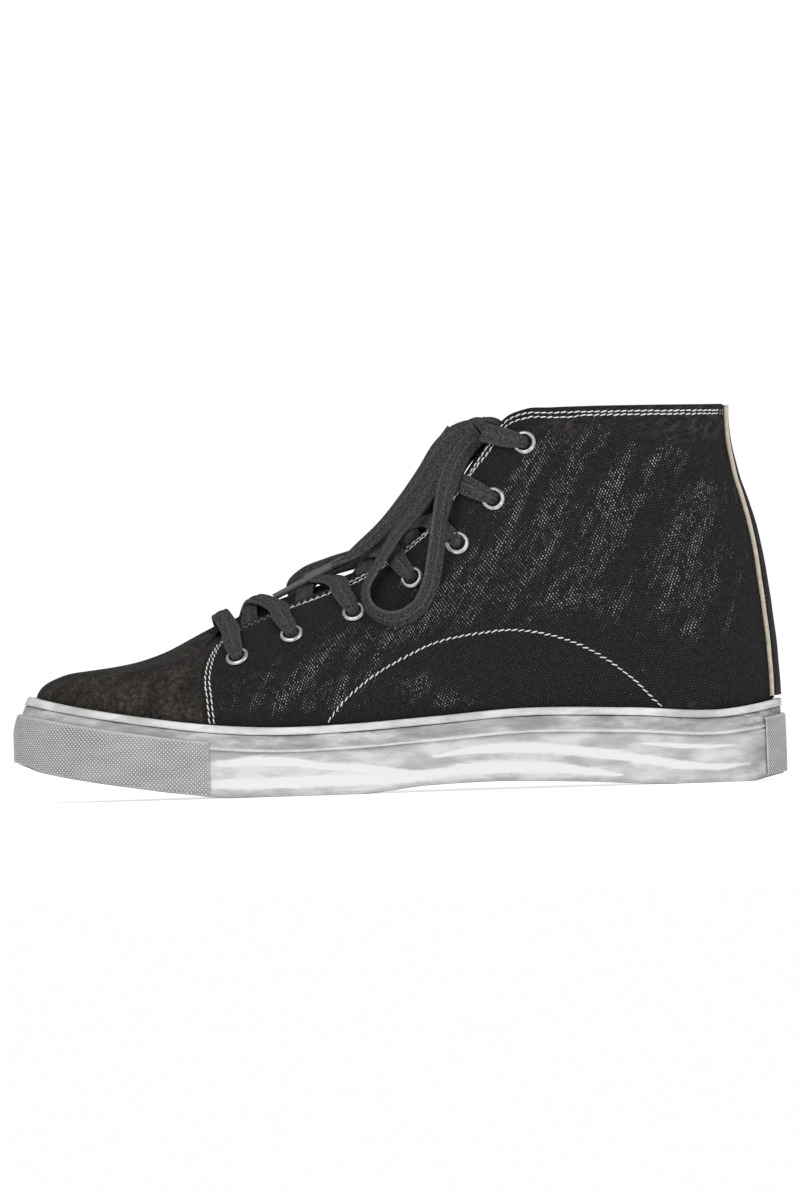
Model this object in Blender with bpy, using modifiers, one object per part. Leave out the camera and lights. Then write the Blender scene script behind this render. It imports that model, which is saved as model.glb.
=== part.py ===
"""High top sneaker for the left foot: canvas quarters, suede vamp and a rubber cupsole.

Toe towards -X, heel towards +X, outer side towards -Y, the floor at Z = 0. All sizes are in metres.
"""

import math

import bmesh
import bpy
from mathutils import Matrix, Vector

# Driving sizes of the whole shoe
LENGTH = 0.300  # toe bumper to heel bumper
BALL_WIDTH = 0.1044  # cup across the ball of the foot
HEIGHT = 0.1468  # floor to the collar
SOLE_HEIGHT = 0.0312  # floor to the top of the cup at the waist
TOE_SPRING = 0.0154  # lift of the sole's tip
GAP = 0.0003  # between pieces that touch

# Cupsole, foxing strip and bumpers
LEAN = 0.0050  # how far the cup's top draws in at the toe
TREAD_RIM = 0.0085  # smooth rim round the tread
TREAD_CORNER = 0.0012  # chamfer under the side wall
BAND_HEIGHT = 0.0064  # band under the foxing strip
BAND_STEP = 0.0005
BAND_GROOVE = 0.0005
STRIP_HEIGHT = 0.0030
STRIP_THICKNESS = 0.0009
RIM_THICKNESS = 0.0013  # cup behind the foxing strip
RIM_DROP = 0.0002
WALL_STRAIGHT = 0.45  # share of the side that stands upright
BUMPER_THICKNESS = 0.0009
TOE_BUMPER_TOP = 0.0066  # below the top of the cup
HEEL_BUMPER_TOP = 0.0058
HEEL_BUMPER_STATION = 0.9757
BUMPER_BOTTOM = 0.0008  # above the tread
GROOVE_WIDTH = 0.0030
GROOVE_DEPTH = 0.0015
FOREFOOT_GROOVES = (0.13, 0.45, 9)  # first station, last station, count
HEEL_GROOVES = (0.77, 0.93, 5)

# Upper, tongue, insole and trim
WALL = 0.0020
VAMP_STEP = 0.0006  # the quarter stands this proud of the vamp
SEAM_STATION = 0.2500
SEAM_STEP = 0.0008  # width of the step
INSOLE_THICKNESS = 0.0040
INSOLE_CHAMFER = 0.0010
INSOLE_PLAY = 0.0006
TONGUE_THICKNESS = 0.0024
TONGUE_PLAY = 0.0011
TONGUE_LEVELS = (-1.9, -1.1, -0.35)  # its side under the eyestay, from the upper's top level
TONGUE_CROWN = 0.0010
TONGUE_TOP_STATION = 0.588
TONGUE_STRIPS = 8  # across the throat
TONGUE_RUNGS = 8  # along the throat
STAY_THICKNESS = 0.0026
STAY_TAPER = 0.55  # share of its thickness lost at the collar
STAY_FOOT = 0.0085  # half width at the cup
STAY_HEAD = 0.0055  # half width at the collar
STAY_START = 0.18  # level of its foot, over the foxing strip
PIPING_RADIUS = 0.0009
PIPING_PLAY = 0.0008
SIDE_COLUMNS = 29  # sections on each side of the shoe

# Eyelets and lace
EYELET_HOLE = 0.00275
EYELET_BARREL = 0.00325
EYELET_FLANGE = 0.0046
EYELET_HEIGHT = 0.0007
LACE_WIDTH = 0.0076
LACE_THICKNESS = 0.0012
LACE_LIFT = 0.0008  # over what the lace crosses
LACE_START = 0.0042  # from the edge that the lace comes out under
LACE_EDGE_LIFT = 0.0014  # where the lace bends over the throat edge
LACE_RISE = 0.33  # share of a row that the lace climbs before it shows
LACE_SLANT = 0.15  # share of a row that the lace drops from the edge's nearest point
LACE_ARCH = (0.0060, 0.0055, 0.0035, 0.0025, 0.0022, 0.0018, 0.0005)  # slack over the tongue by row
EYELET_STEPS = 10
THROAT_STATION = 0.562  # where the throat edge turns into the collar
CORD_RADIUS = 0.0020  # round cord with the flat lace's section
AGLET_RADIUS = 0.0013
KNOT_SIZE = (0.0042, 0.0080, 0.0058)  # half sizes: off the throat, across it and along it

# Sole outline: station from toe 0 to heel 1, outer and inner side as shares of half the ball width
OUTLINE = (
    # station, outer, inner
    (1.000, 0.000, 0.000),
    (0.985, 0.330, 0.330),
    (0.955, 0.540, 0.535),
    (0.900, 0.690, 0.675),
    (0.820, 0.755, 0.720),
    (0.700, 0.780, 0.675),
    (0.580, 0.840, 0.660),
    (0.480, 0.930, 0.745),
    (0.380, 0.998, 0.895),
    (0.280, 0.965, 0.975),
    (0.190, 0.865, 0.960),
    (0.110, 0.700, 0.880),
    (0.050, 0.480, 0.715),
    (0.015, 0.220, 0.490),
    (0.000, -0.130, 0.130),
)

# Tread height by station, as a share of the toe spring
GROUND = (
    (0.00, 1.00),
    (0.03, 0.80),
    (0.09, 0.54),
    (0.15, 0.34),
    (0.21, 0.16),
    (0.29, 0.00),
    (0.44, 0.00),
    (0.54, 0.17),
    (0.62, 0.21),
    (0.74, 0.13),
    (0.86, 0.00),
    (0.95, 0.00),
    (1.00, 0.16),
)

# Cup by station: top edge and floor as shares of the sole height, draw-in as a share of the lean
CUP = (
    # station, top, floor, lean
    (0.00, 1.330, 0.810, 1.00),
    (0.07, 1.190, 0.660, 0.82),
    (0.16, 1.040, 0.520, 0.52),
    (0.25, 0.920, 0.425, 0.32),
    (0.34, 0.860, 0.400, 0.26),
    (0.43, 0.872, 0.400, 0.24),
    (0.54, 0.930, 0.430, 0.24),
    (0.66, 1.000, 0.465, 0.22),
    (0.80, 0.965, 0.500, 0.18),
    (0.93, 0.912, 0.520, 0.12),
    (1.00, 1.020, 0.525, 0.08),
)

# Top edge of the upper by the station of each section's foot: run from the heel as a share of the
# length, height as a share of the shoe's height, half gap and shift of the middle as shares of half
# the ball width, and form, which says where between the profiles below the section lies
SECTIONS = (
    # station, run, height, half_gap, shift, form
    (1.000, 0.0660, 0.9945, 0.000, 0.000, 4.00),
    (0.985, 0.0695, 0.9945, 0.180, 0.000, 3.90),
    (0.955, 0.0850, 0.9950, 0.355, 0.000, 3.65),
    (0.900, 0.1220, 0.9965, 0.515, 0.000, 3.25),
    (0.820, 0.1820, 0.9985, 0.600, 0.000, 3.00),
    (0.740, 0.2430, 1.0000, 0.610, 0.000, 2.90),
    (0.670, 0.2930, 1.0000, 0.575, 0.000, 2.70),
    (0.620, 0.3270, 0.9985, 0.530, 0.002, 2.50),
    (0.585, 0.3510, 0.9790, 0.490, 0.006, 2.35),
    (0.550, 0.3710, 0.9280, 0.462, 0.010, 2.20),
    (0.510, 0.4000, 0.8365, 0.430, 0.016, 2.05),
    (0.470, 0.4350, 0.7355, 0.392, 0.024, 1.95),
    (0.430, 0.4750, 0.6630, 0.355, 0.033, 1.80),
    (0.390, 0.5233, 0.6000, 0.322, 0.043, 1.60),
    (0.350, 0.5800, 0.5490, 0.297, 0.053, 1.40),
    (0.310, 0.6367, 0.5055, 0.278, 0.063, 1.20),
    (0.275, 0.6890, 0.4625, 0.264, 0.073, 1.05),
    (0.250, 0.7200, 0.4330, 0.240, 0.080, 0.95),
    (0.190, 0.7277, 0.4455, 0.172, 0.083, 0.72),
    (0.120, 0.7320, 0.4545, 0.111, 0.085, 0.50),
    (0.050, 0.7333, 0.4585, 0.054, 0.087, 0.22),
    (0.000, 0.7337, 0.4600, 0.000, 0.087, 0.00),
)

# Profiles from the cup's top edge (0, 0) to the upper's top edge (1, 1): how far in, how far up
PROFILE_FORMS = {
    "toe": (
        (0.000, 0.000), (0.015, 0.085), (0.045, 0.175), (0.100, 0.265), (0.185, 0.345), (0.300, 0.385),
        (0.430, 0.425), (0.570, 0.490), (0.710, 0.625), (0.860, 0.810), (1.000, 1.000),
    ),
    "ball": (
        (0.000, 0.000), (-0.020, 0.140), (-0.010, 0.280), (0.040, 0.420), (0.120, 0.550), (0.230, 0.665),
        (0.370, 0.770), (0.530, 0.860), (0.690, 0.925), (0.850, 0.970), (1.000, 1.000),
    ),
    "instep": (
        (0.000, 0.000), (-0.020, 0.100), (0.000, 0.200), (0.060, 0.310), (0.140, 0.420), (0.250, 0.530),
        (0.380, 0.635), (0.520, 0.735), (0.680, 0.830), (0.840, 0.918), (1.000, 1.000),
    ),
    "ankle": (
        (0.000, 0.000), (-0.050, 0.070), (0.020, 0.150), (0.180, 0.240), (0.360, 0.340), (0.500, 0.450),
        (0.610, 0.560), (0.700, 0.670), (0.790, 0.780), (0.890, 0.890), (1.000, 1.000),
    ),
    "heel": (
        (0.000, 0.000), (0.012, 0.070), (0.042, 0.150), (0.100, 0.240), (0.185, 0.340), (0.285, 0.450),
        (0.410, 0.560), (0.615, 0.670), (0.850, 0.780), (0.990, 0.890), (1.000, 1.000),
    ),
}
PROFILES = tuple(PROFILE_FORMS.values())
TOP_LEVEL = len(PROFILES[0]) - 1

# Eyelet rows from toe to collar: run as a share of the length, height as a share of the height
EYELETS = (
    (0.7060, 0.3712),
    (0.6350, 0.4271),
    (0.5540, 0.4802),
    (0.4777, 0.5647),
    (0.4180, 0.6533),
    (0.3697, 0.7663),
    (0.3270, 0.9121),
)

# Bow, in metres: middle of the knot and the route of each free piece of lace from it
KNOT_PLACE = (0.0300, 0.0005, 0.1380)
THROAT_LEAN = 58.5  # slope of the throat at the knot, in degrees
BOW = {
    "lace_loop_outer": (
        (0.0305, -0.0092, 0.1354), (0.0270, -0.0130, 0.1300), (0.0207, -0.0185, 0.1186),
        (0.0118, -0.0260, 0.1057), (0.0024, -0.0326, 0.0930), (-0.0065, -0.0345, 0.0837),
        (-0.0106, -0.0370, 0.0761), (-0.0075, -0.0410, 0.0694), (0.0003, -0.0428, 0.0672),
        (0.0087, -0.0424, 0.0714), (0.0138, -0.0412, 0.0807), (0.0163, -0.0412, 0.0923),
        (0.0187, -0.0400, 0.1039), (0.0222, -0.0326, 0.1158), (0.0270, -0.0205, 0.1265),
        (0.0322, -0.0108, 0.1322),
    ),
    "lace_loop_inner": (
        (0.0305, 0.0102, 0.1354), (0.0270, 0.0140, 0.1300), (0.0195, 0.0190, 0.1185),
        (0.0105, 0.0225, 0.1065), (-0.0005, 0.0240, 0.0980), (-0.0125, 0.0225, 0.0920),
        (-0.0250, 0.0210, 0.0884), (-0.0340, 0.0225, 0.0853), (-0.0390, 0.0280, 0.0805),
        (-0.0365, 0.0345, 0.0750), (-0.0270, 0.0392, 0.0720), (-0.0140, 0.0400, 0.0760),
        (-0.0020, 0.0390, 0.0825), (0.0080, 0.0370, 0.0910), (0.0155, 0.0345, 0.1015),
        (0.0210, 0.0303, 0.1135), (0.0270, 0.0208, 0.1265), (0.0322, 0.0118, 0.1322),
    ),
    "lace_end_outer": (
        (0.0245, -0.0040, 0.1402), (0.0203, -0.0042, 0.1358), (0.0145, -0.0040, 0.1270),
        (0.0065, -0.0036, 0.1144), (-0.0025, -0.0032, 0.1034), (-0.0120, -0.0030, 0.0952),
        (-0.0205, -0.0026, 0.0900), (-0.0240, -0.0024, 0.0884),
    ),
    "lace_end_inner": (
        (0.0245, 0.0050, 0.1392), (0.0198, 0.0066, 0.1330), (0.0140, 0.0084, 0.1230),
        (0.0065, 0.0100, 0.1120), (-0.0020, 0.0112, 0.1030), (-0.0105, 0.0122, 0.0960),
        (-0.0150, 0.0126, 0.0932),
    ),
}
AGLETS = {
    "aglet_outer": ((-0.0243, -0.0023, 0.0882), (-0.0455, 0.0005, 0.0794)),
    "aglet_inner": ((-0.0153, 0.0126, 0.0930), (-0.0350, 0.0145, 0.0840)),
}
CORD_STEP = 0.0080  # between points along a bow's cord


# Smooth curves through the tables

def slopes(knots, values):
    """Slope at each row from its two neighbours, level where the values turn."""
    result = [0.0] * len(knots)
    for i in range(1, len(knots) - 1):
        before = (values[i] - values[i - 1]) / (knots[i] - knots[i - 1])
        after = (values[i + 1] - values[i]) / (knots[i + 1] - knots[i])
        if before * after > 0:
            result[i] = 2 * before * after / (before + after)
    return result


def free_slopes(knots, values):
    """Slope at each row of the parabola through the row and its two neighbours."""
    result = [0.0] * len(knots)
    for i in range(1, len(knots) - 1):
        left = knots[i] - knots[i - 1]
        right = knots[i + 1] - knots[i]
        before = (values[i] - values[i - 1]) / left
        after = (values[i + 1] - values[i]) / right
        result[i] = (before * right + after * left) / (left + right)
    result[0] = 2 * (values[1] - values[0]) / (knots[1] - knots[0]) - result[1]
    result[-1] = 2 * (values[-1] - values[-2]) / (knots[-1] - knots[-2]) - result[-2]
    return result


def along(knots, values, slope, at):
    """Value of the cubic through the rows at one place."""
    i = 0
    while i < len(knots) - 2 and at > knots[i + 1]:
        i += 1
    span = knots[i + 1] - knots[i]
    u = (at - knots[i]) / span
    return (
        (1 + 2 * u) * (1 - u) ** 2 * values[i]
        + u * (1 - u) ** 2 * span * slope[i]
        + u * u * (3 - 2 * u) * values[i + 1]
        + u * u * (u - 1) * span * slope[i + 1]
    )


class Table:
    """Smooth columns of a table of rows, read by the first column."""

    def __init__(self, rows, slope_rule):
        rows = sorted(rows)
        self.knots = [row[0] for row in rows]
        self.columns = []
        for values in list(zip(*rows))[1:]:
            self.columns.append((values, slope_rule(self.knots, values)))

    def at(self, place, column=0):
        values, slope = self.columns[column]
        return along(self.knots, values, slope, place)


def angle_of(station):
    """Place round the shoe of a station on the outer side: heel 0, toe 1."""
    return math.acos(max(-1.0, min(1.0, 2 * station - 1))) / math.pi


def station_of(angle):
    return 0.5 + 0.5 * math.cos(math.pi * angle)


def ring_table(rows):
    """Table round the whole shoe from rows of (angle, values), repeated past both ends."""
    rows = sorted(rows)
    before = [(row[0] - 2,) + row[1:] for row in rows[-3:]]
    after = [(row[0] + 2,) + row[1:] for row in rows[:3]]
    return Table(before + rows + after, free_slopes)


def outline_rows():
    rows = []
    for station, outer, inner in OUTLINE:
        angle = angle_of(station)
        rows.append((angle, -outer))
        if 0 < angle < 1:
            rows.append((2 - angle, inner))
    return rows


def section_rows():
    rows = []
    for station, run, height, half_gap, shift, form in SECTIONS:
        angle = angle_of(station)
        rows.append((angle, run, height, shift - half_gap, form))
        if 0 < angle < 1:
            rows.append((2 - angle, run, height, shift + half_gap, form))
    return rows


OUTLINE_TABLE = ring_table(outline_rows())
SECTION_TABLE = ring_table(section_rows())
GROUND_TABLE = Table(GROUND, slopes)
CUP_TABLE = Table(CUP, free_slopes)
CUP_LENGTH = LENGTH - 2 * (BUMPER_THICKNESS + GAP)


# Sole surfaces

def outline_point(angle):
    """Point of the cup's outline on the floor plane."""
    x = CUP_LENGTH / 2 * math.cos(math.pi * angle)
    y = BALL_WIDTH / 2 * OUTLINE_TABLE.at(angle)
    return Vector((x, y, 0))


def inset_point(angle, inset, z=0.0):
    """Point inside the outline, measured square to it."""
    step = 0.002
    run = outline_point((angle + step) % 2) - outline_point((angle - step) % 2)
    inward = Vector((run.y, -run.x, 0)).normalized()
    point = outline_point(angle) + inward * inset
    point.z = z
    return point


def ground_at(x):
    station = max(0.0, min(1.0, x / CUP_LENGTH + 0.5))
    return TOE_SPRING * GROUND_TABLE.at(station)


def cup_top(angle):
    return SOLE_HEIGHT * CUP_TABLE.at(station_of(angle), 0)


def cup_floor(angle):
    return SOLE_HEIGHT * CUP_TABLE.at(station_of(angle), 1)


def side_inset(angle, z):
    """How far the side wall has drawn in at a height: upright below, leaning in above."""
    low = ground_at(outline_point(angle).x)
    level = (z - low) / (cup_top(angle) - low)
    rise = max(0.0, (level - WALL_STRAIGHT) / (1 - WALL_STRAIGHT))
    return LEAN * CUP_TABLE.at(station_of(angle), 2) * rise ** 1.5


CUP_INNER = STRIP_THICKNESS + GAP + RIM_THICKNESS
UPPER_INSET = CUP_INNER + GAP


def cup_inner_inset(angle):
    return side_inset(angle, cup_top(angle)) + CUP_INNER


# Sections round the shoe

def side_angles():
    """Angles from heel to toe at even steps along the outline, with a close pair at the vamp seam."""
    fine = 600
    lengths = [0.0]
    for i in range(fine):
        step = 0.0
        for side in (1, -1):
            start = outline_point(side * i / fine % 2)
            end = outline_point(side * (i + 1) / fine % 2)
            step += (end - start).length / 2
        lengths.append(lengths[-1] + step)
    angles = []
    place = 0
    for k in range(SIDE_COLUMNS + 1):
        wanted = lengths[-1] * k / SIDE_COLUMNS
        while place < fine and lengths[place] < wanted:
            place += 1
        angles.append(place / fine)
    angles[0] = 0.0
    angles[-1] = 1.0
    seam = [angle_of(SEAM_STATION + side * SEAM_STEP / CUP_LENGTH / 2) for side in (1, -1)]
    nearest = min(range(len(angles)), key=lambda k: abs(angles[k] - seam[0]))
    return angles[:nearest] + seam + angles[nearest + 1:]


def ring_angles():
    outer = side_angles()
    inner = [2 - angle for angle in reversed(outer[1:-1])]
    return outer + inner


ANGLES = ring_angles()
SEAM_BACK, SEAM_FRONT = (angle_of(SEAM_STATION + side * SEAM_STEP / CUP_LENGTH / 2) for side in (1, -1))


# Upper surfaces

LEVEL_KNOTS = list(range(TOP_LEVEL + 1))
PROFILE_TABLES = [Table([(k,) + point for k, point in enumerate(rows)], free_slopes) for rows in PROFILES]


def profile_at(form, level):
    """Shares in and up of the profile between two neighbouring forms."""
    lower = int(max(0, min(len(PROFILES) - 2, math.floor(form))))
    mix = max(0.0, min(1.0, form - lower))
    mix = mix * mix * (3 - 2 * mix) * 0.5 + mix * 0.5
    first = PROFILE_TABLES[lower]
    second = PROFILE_TABLES[lower + 1]
    inward = first.at(level, 0) * (1 - mix) + second.at(level, 0) * mix
    upward = first.at(level, 1) * (1 - mix) + second.at(level, 1) * mix
    return inward, upward


def rim_point(angle):
    top = cup_top(angle)
    return inset_point(angle, side_inset(angle, top) + UPPER_INSET, top)


def top_point(angle):
    """Point of the collar or throat edge above a section's foot."""
    return Vector((
        LENGTH * (0.5 - SECTION_TABLE.at(angle, 0)),
        BALL_WIDTH / 2 * SECTION_TABLE.at(angle, 2),
        HEIGHT * SECTION_TABLE.at(angle, 1),
    ))


def upper_point(angle, level):
    """Outer surface of the upper: level -1 on the cup's floor, 0 at its rim, TOP_LEVEL at the edge."""
    rim = rim_point(angle)
    if level < 0:
        floor = cup_floor(angle) + GAP
        return Vector((rim.x, rim.y, rim.z + (floor - rim.z) * -level))
    top = top_point(angle)
    inward, upward = profile_at(SECTION_TABLE.at(angle, 3), level)
    flat = rim + (top - rim) * inward
    return Vector((flat.x, flat.y, rim.z + (top.z - rim.z) * upward))


def upper_normal(angle, level):
    """Outward direction of the upper's surface."""
    side = 0.004
    low = max(0.0, level - 0.1)
    high = min(TOP_LEVEL, level + 0.1)
    up = upper_point(angle, high) - upper_point(angle, low)
    run = upper_point((angle + side) % 2, level) - upper_point((angle - side) % 2, level)
    return up.cross(run).normalized()


def over_upper(angle, level, lift):
    return upper_point(angle, level) + upper_normal(angle, level) * lift


def survey(inner):
    """Coarse net of places on one side of the upper: angle, level and point."""
    places = []
    for i in range(25, 96):
        angle = 2 - i / 100 if inner else i / 100
        for k in range(2, 2 * TOP_LEVEL + 1):
            places.append((angle, k / 2, upper_point(angle, k / 2)))
    return places


def locate(x, z, inner=False):
    """Angle and level of the upper's surface at a place seen from the side."""
    nearest = min(SURVEYS[inner], key=lambda place: (place[2].x - x) ** 2 + (place[2].z - z) ** 2)
    angle, level = nearest[:2]
    for _ in range(8):
        here = upper_point(angle, level)
        by_angle = (upper_point(angle + 0.001, level) - here) / 0.001
        by_level = (upper_point(angle, level - 0.01) - here) / -0.01
        spread = by_angle.x * by_level.z - by_angle.z * by_level.x
        dx = x - here.x
        dz = z - here.z
        angle += (dx * by_level.z - dz * by_level.x) / spread
        level += (by_angle.x * dz - by_angle.z * dx) / spread
        level = min(TOP_LEVEL, level)
    return angle, level


# Meshes

def finish_mesh(name, mesh, colour, roughness, metallic=0.0):
    """Put a mesh in the scene as one named piece with its own material."""
    material = bpy.data.materials.new(name)
    material.use_nodes = True
    shader = material.node_tree.nodes["Principled BSDF"]
    shader.inputs["Base Color"].default_value = (*colour, 1)
    shader.inputs["Roughness"].default_value = roughness
    shader.inputs["Metallic"].default_value = metallic
    mesh.materials.append(material)
    piece = bpy.data.objects.new(name, mesh)
    PARTS.objects.link(piece)
    return piece


def mesh_from(name, build):
    """Mesh made by a function that fills a bmesh, its faces turned outward."""
    work = bmesh.new()
    build(work)
    bmesh.ops.recalc_face_normals(work, faces=work.faces)
    mesh = bpy.data.meshes.new(name)
    work.to_mesh(mesh)
    work.free()
    mesh.shade_smooth()
    mesh.set_sharp_from_angle(angle=math.radians(40))
    return mesh


def add_rings(work, rings):
    """Bands of faces between closed rings of as many points each."""
    rows = [[work.verts.new(point) for point in ring] for ring in rings]
    count = len(rings[0])
    for lower, upper in zip(rows, rows[1:]):
        for i in range(count):
            j = (i + 1) % count
            work.faces.new((lower[i], upper[i], upper[j], lower[j]))
    return rows


def add_ladder(work, row):
    """Close a ring that runs heel, outer side, toe, inner side with strips from side to side."""
    count = len(row)
    for i in range(count // 2):
        corners = [row[i], row[i + 1], row[-i - 1], row[-i % count]]
        unique = []
        for corner in corners:
            if corner not in unique:
                unique.append(corner)
        work.faces.new(unique)


def closed_loft(name, rings):
    """Solid between the first and the last ring, both closed from side to side."""
    def build(work):
        rows = add_rings(work, rings)
        add_ladder(work, rows[0])
        add_ladder(work, rows[-1])
    return mesh_from(name, build)


def grid_mesh(name, grid, closed=False):
    """Open sheet of quads over columns of points, facing out where columns run heel to toe and up."""
    mesh = bpy.data.meshes.new(name)
    height = len(grid[0])
    points = [point for column in grid for point in column]
    faces = []
    last = len(grid) if closed else len(grid) - 1
    for i in range(last):
        j = (i + 1) % len(grid)
        for k in range(height - 1):
            corners = (i * height + k, i * height + k + 1, j * height + k + 1, j * height + k)
            faces.append(corners)
    mesh.from_pydata(points, [], faces)
    mesh.shade_smooth()
    mesh.set_sharp_from_angle(angle=math.radians(40))
    return mesh


def solidify(piece, thickness, offset=-1.0):
    shell = piece.modifiers.new("wall", "SOLIDIFY")
    shell.thickness = thickness
    shell.offset = offset
    return shell


def cut(piece, cutter):
    boolean = piece.modifiers.new("cut", "BOOLEAN")
    boolean.operation = "DIFFERENCE"
    boolean.solver = "EXACT"
    boolean.object = cutter


def make_cutter(name, build):
    work = bmesh.new()
    build(work)
    mesh = bpy.data.meshes.new(name)
    work.to_mesh(mesh)
    work.free()
    cutter = bpy.data.objects.new(name, mesh)
    cutter.hide_render = True
    cutter.display_type = "WIRE"
    CUTTERS.objects.link(cutter)
    return cutter


def facing(point, normal):
    """Placement at a point with +Z along a direction."""
    turn = normal.to_track_quat("Z", "Y").to_matrix().to_4x4()
    return Matrix.Translation(point) @ turn


# Cupsole and its trim

def groove_stations():
    stations = []
    for first, last, count in (FOREFOOT_GROOVES, HEEL_GROOVES):
        for k in range(count):
            stations.append(first + (last - first) * k / (count - 1))
    return stations


def add_grooves(work):
    """Boxes across the tread, each turned to the slope of the ground there."""
    for station in groove_stations():
        angle = angle_of(station)
        x = outline_point(angle).x
        low = outline_point(angle).y + TREAD_RIM + GROOVE_WIDTH
        high = outline_point(2 - angle).y - TREAD_RIM - GROOVE_WIDTH
        reach = GROOVE_WIDTH / 2
        slope = math.atan2(ground_at(x + reach) - ground_at(x - reach), GROOVE_WIDTH)
        place = Matrix.Translation((x, (low + high) / 2, ground_at(x)))
        place = place @ Matrix.Rotation(-slope, 4, "Y")
        place = place @ Matrix.Diagonal((GROOVE_WIDTH, high - low, 2 * GROOVE_DEPTH, 1))
        bmesh.ops.create_cube(work, size=1, matrix=place)


def cup_rings():
    """Rings of the cup from the tread's edge, up the side, over the rim and down to the floor."""
    rings = [[] for _ in range(11)]
    for angle in ANGLES:
        top = cup_top(angle)
        low = ground_at(outline_point(angle).x)
        floor = cup_floor(angle)
        band_top = top - STRIP_HEIGHT - GAP
        band_low = band_top - BAND_HEIGHT
        behind = STRIP_THICKNESS + GAP
        inner = cup_inner_inset(angle)
        tread = inset_point(angle, TREAD_RIM)
        edge = inset_point(angle, TREAD_CORNER)
        heights = (
            (side_inset(angle, low + TREAD_CORNER), low + TREAD_CORNER),
            (0.0, low + WALL_STRAIGHT * (top - low)),
            (side_inset(angle, band_low - BAND_GROOVE), band_low - BAND_GROOVE),
            (side_inset(angle, band_low) + BAND_STEP, band_low),
            (side_inset(angle, band_top) + BAND_STEP, band_top),
            (side_inset(angle, band_top) + behind, band_top),
            (side_inset(angle, top - RIM_DROP) + behind, top - RIM_DROP),
            (inner, top - RIM_DROP),
            (inner, floor),
        )
        tread.z = ground_at(tread.x)
        edge.z = ground_at(edge.x)
        rings[0].append(tread)
        rings[1].append(edge)
        for ring, (inset, z) in zip(rings[2:], heights):
            ring.append(inset_point(angle, inset, z))
    return rings


def make_cupsole():
    piece = finish_mesh("cupsole", closed_loft("cupsole", cup_rings()), (0.52, 0.53, 0.54), 0.7)
    cut(piece, make_cutter("tread_grooves", add_grooves))


def make_foxing_strip():
    """Strip round the cup's top, its outer edges eased."""
    rings = [[] for _ in range(6)]
    ease = STRIP_THICKNESS / 2
    for angle in ANGLES:
        top = cup_top(angle)
        low = top - STRIP_HEIGHT
        corners = (
            (side_inset(angle, low) + STRIP_THICKNESS, low),
            (side_inset(angle, low) + ease / 3, low),
            (side_inset(angle, low + ease), low + ease),
            (side_inset(angle, top - ease), top - ease),
            (side_inset(angle, top) + ease, top),
            (side_inset(angle, top) + STRIP_THICKNESS, top),
        )
        for ring, (inset, z) in zip(rings, corners):
            ring.append(inset_point(angle, inset, z))

    def build(work):
        add_rings(work, rings + [rings[0]])
        bmesh.ops.remove_doubles(work, verts=work.verts, dist=0.000001)
    finish_mesh("foxing_strip", mesh_from("foxing_strip", build), (0.72, 0.72, 0.71), 0.65)


def make_bumper(name, angles, below_top):
    """Textured rubber wrapped round one end of the cup."""
    grid = []
    for angle in angles:
        x = outline_point(angle).x
        low = ground_at(x) + BUMPER_BOTTOM
        high = cup_top(angle) - below_top
        column = []
        for share in (0.0, 0.35, 0.7, 1.0):
            z = low + (high - low) * share
            column.append(inset_point(angle, side_inset(angle, z) - GAP - BUMPER_THICKNESS, z))
        grid.append(column)
    piece = finish_mesh(name, grid_mesh(name, grid), (0.42, 0.42, 0.41), 0.75)
    solidify(piece, BUMPER_THICKNESS)


def make_bumpers():
    front = [angle for angle in ANGLES if abs(angle - 1) <= 1 - SEAM_BACK]
    make_bumper("toe_bumper", front, TOE_BUMPER_TOP)
    heel = angle_of(HEEL_BUMPER_STATION)
    inner = [angle - 2 for angle in ANGLES if angle > 2 - heel]
    outer = [angle for angle in ANGLES if angle < heel]
    make_bumper("heel_bumper", [-heel] + inner + outer + [heel], HEEL_BUMPER_TOP)


def make_insole():
    rings = [[] for _ in range(3)]
    for angle in ANGLES:
        inset = cup_inner_inset(angle) + GAP + WALL + INSOLE_PLAY
        low = cup_floor(angle) + GAP
        high = low + INSOLE_THICKNESS
        rings[0].append(inset_point(angle, inset, low))
        rings[1].append(inset_point(angle, inset, high - INSOLE_CHAMFER))
        rings[2].append(inset_point(angle, inset + INSOLE_CHAMFER, high))
    finish_mesh("insole", closed_loft("insole", rings), (0.05, 0.05, 0.05), 0.9)


# Upper and its trim

def is_vamp(angle):
    return SEAM_FRONT - 0.0001 <= angle <= 2 - SEAM_FRONT + 0.0001


def add_eyelet_holes(work):
    for spot in EYELET_SPOTS:
        place = facing(over_upper(*spot, -WALL / 2), upper_normal(*spot))
        bmesh.ops.create_cone(
            work, cap_ends=True, segments=12, radius1=EYELET_BARREL + GAP,
            radius2=EYELET_BARREL + GAP, depth=4 * WALL, matrix=place,
        )


def make_upper():
    """Shell from the outer surface inward, thinner at the vamp, with a hole for each eyelet."""
    levels = [-1] + LEVEL_KNOTS
    grid = []
    for angle in ANGLES:
        drop = VAMP_STEP if is_vamp(angle) else 0.0
        column = [over_upper(angle, level, -drop) if level > 0 else upper_point(angle, level)
                  for level in levels]
        grid.append(column)
    piece = finish_mesh("upper", grid_mesh("upper", grid, closed=True), (0.015, 0.015, 0.016), 0.9)
    wall = piece.vertex_groups.new(name="wall")
    for i, angle in enumerate(ANGLES):
        share = 1 - VAMP_STEP / WALL if is_vamp(angle) else 1.0
        for k in range(len(levels)):
            wall.add([i * len(levels) + k], share, "REPLACE")
    shell = solidify(piece, WALL)
    shell.vertex_group = "wall"
    cut(piece, make_cutter("eyelet_holes", add_eyelet_holes))


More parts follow.
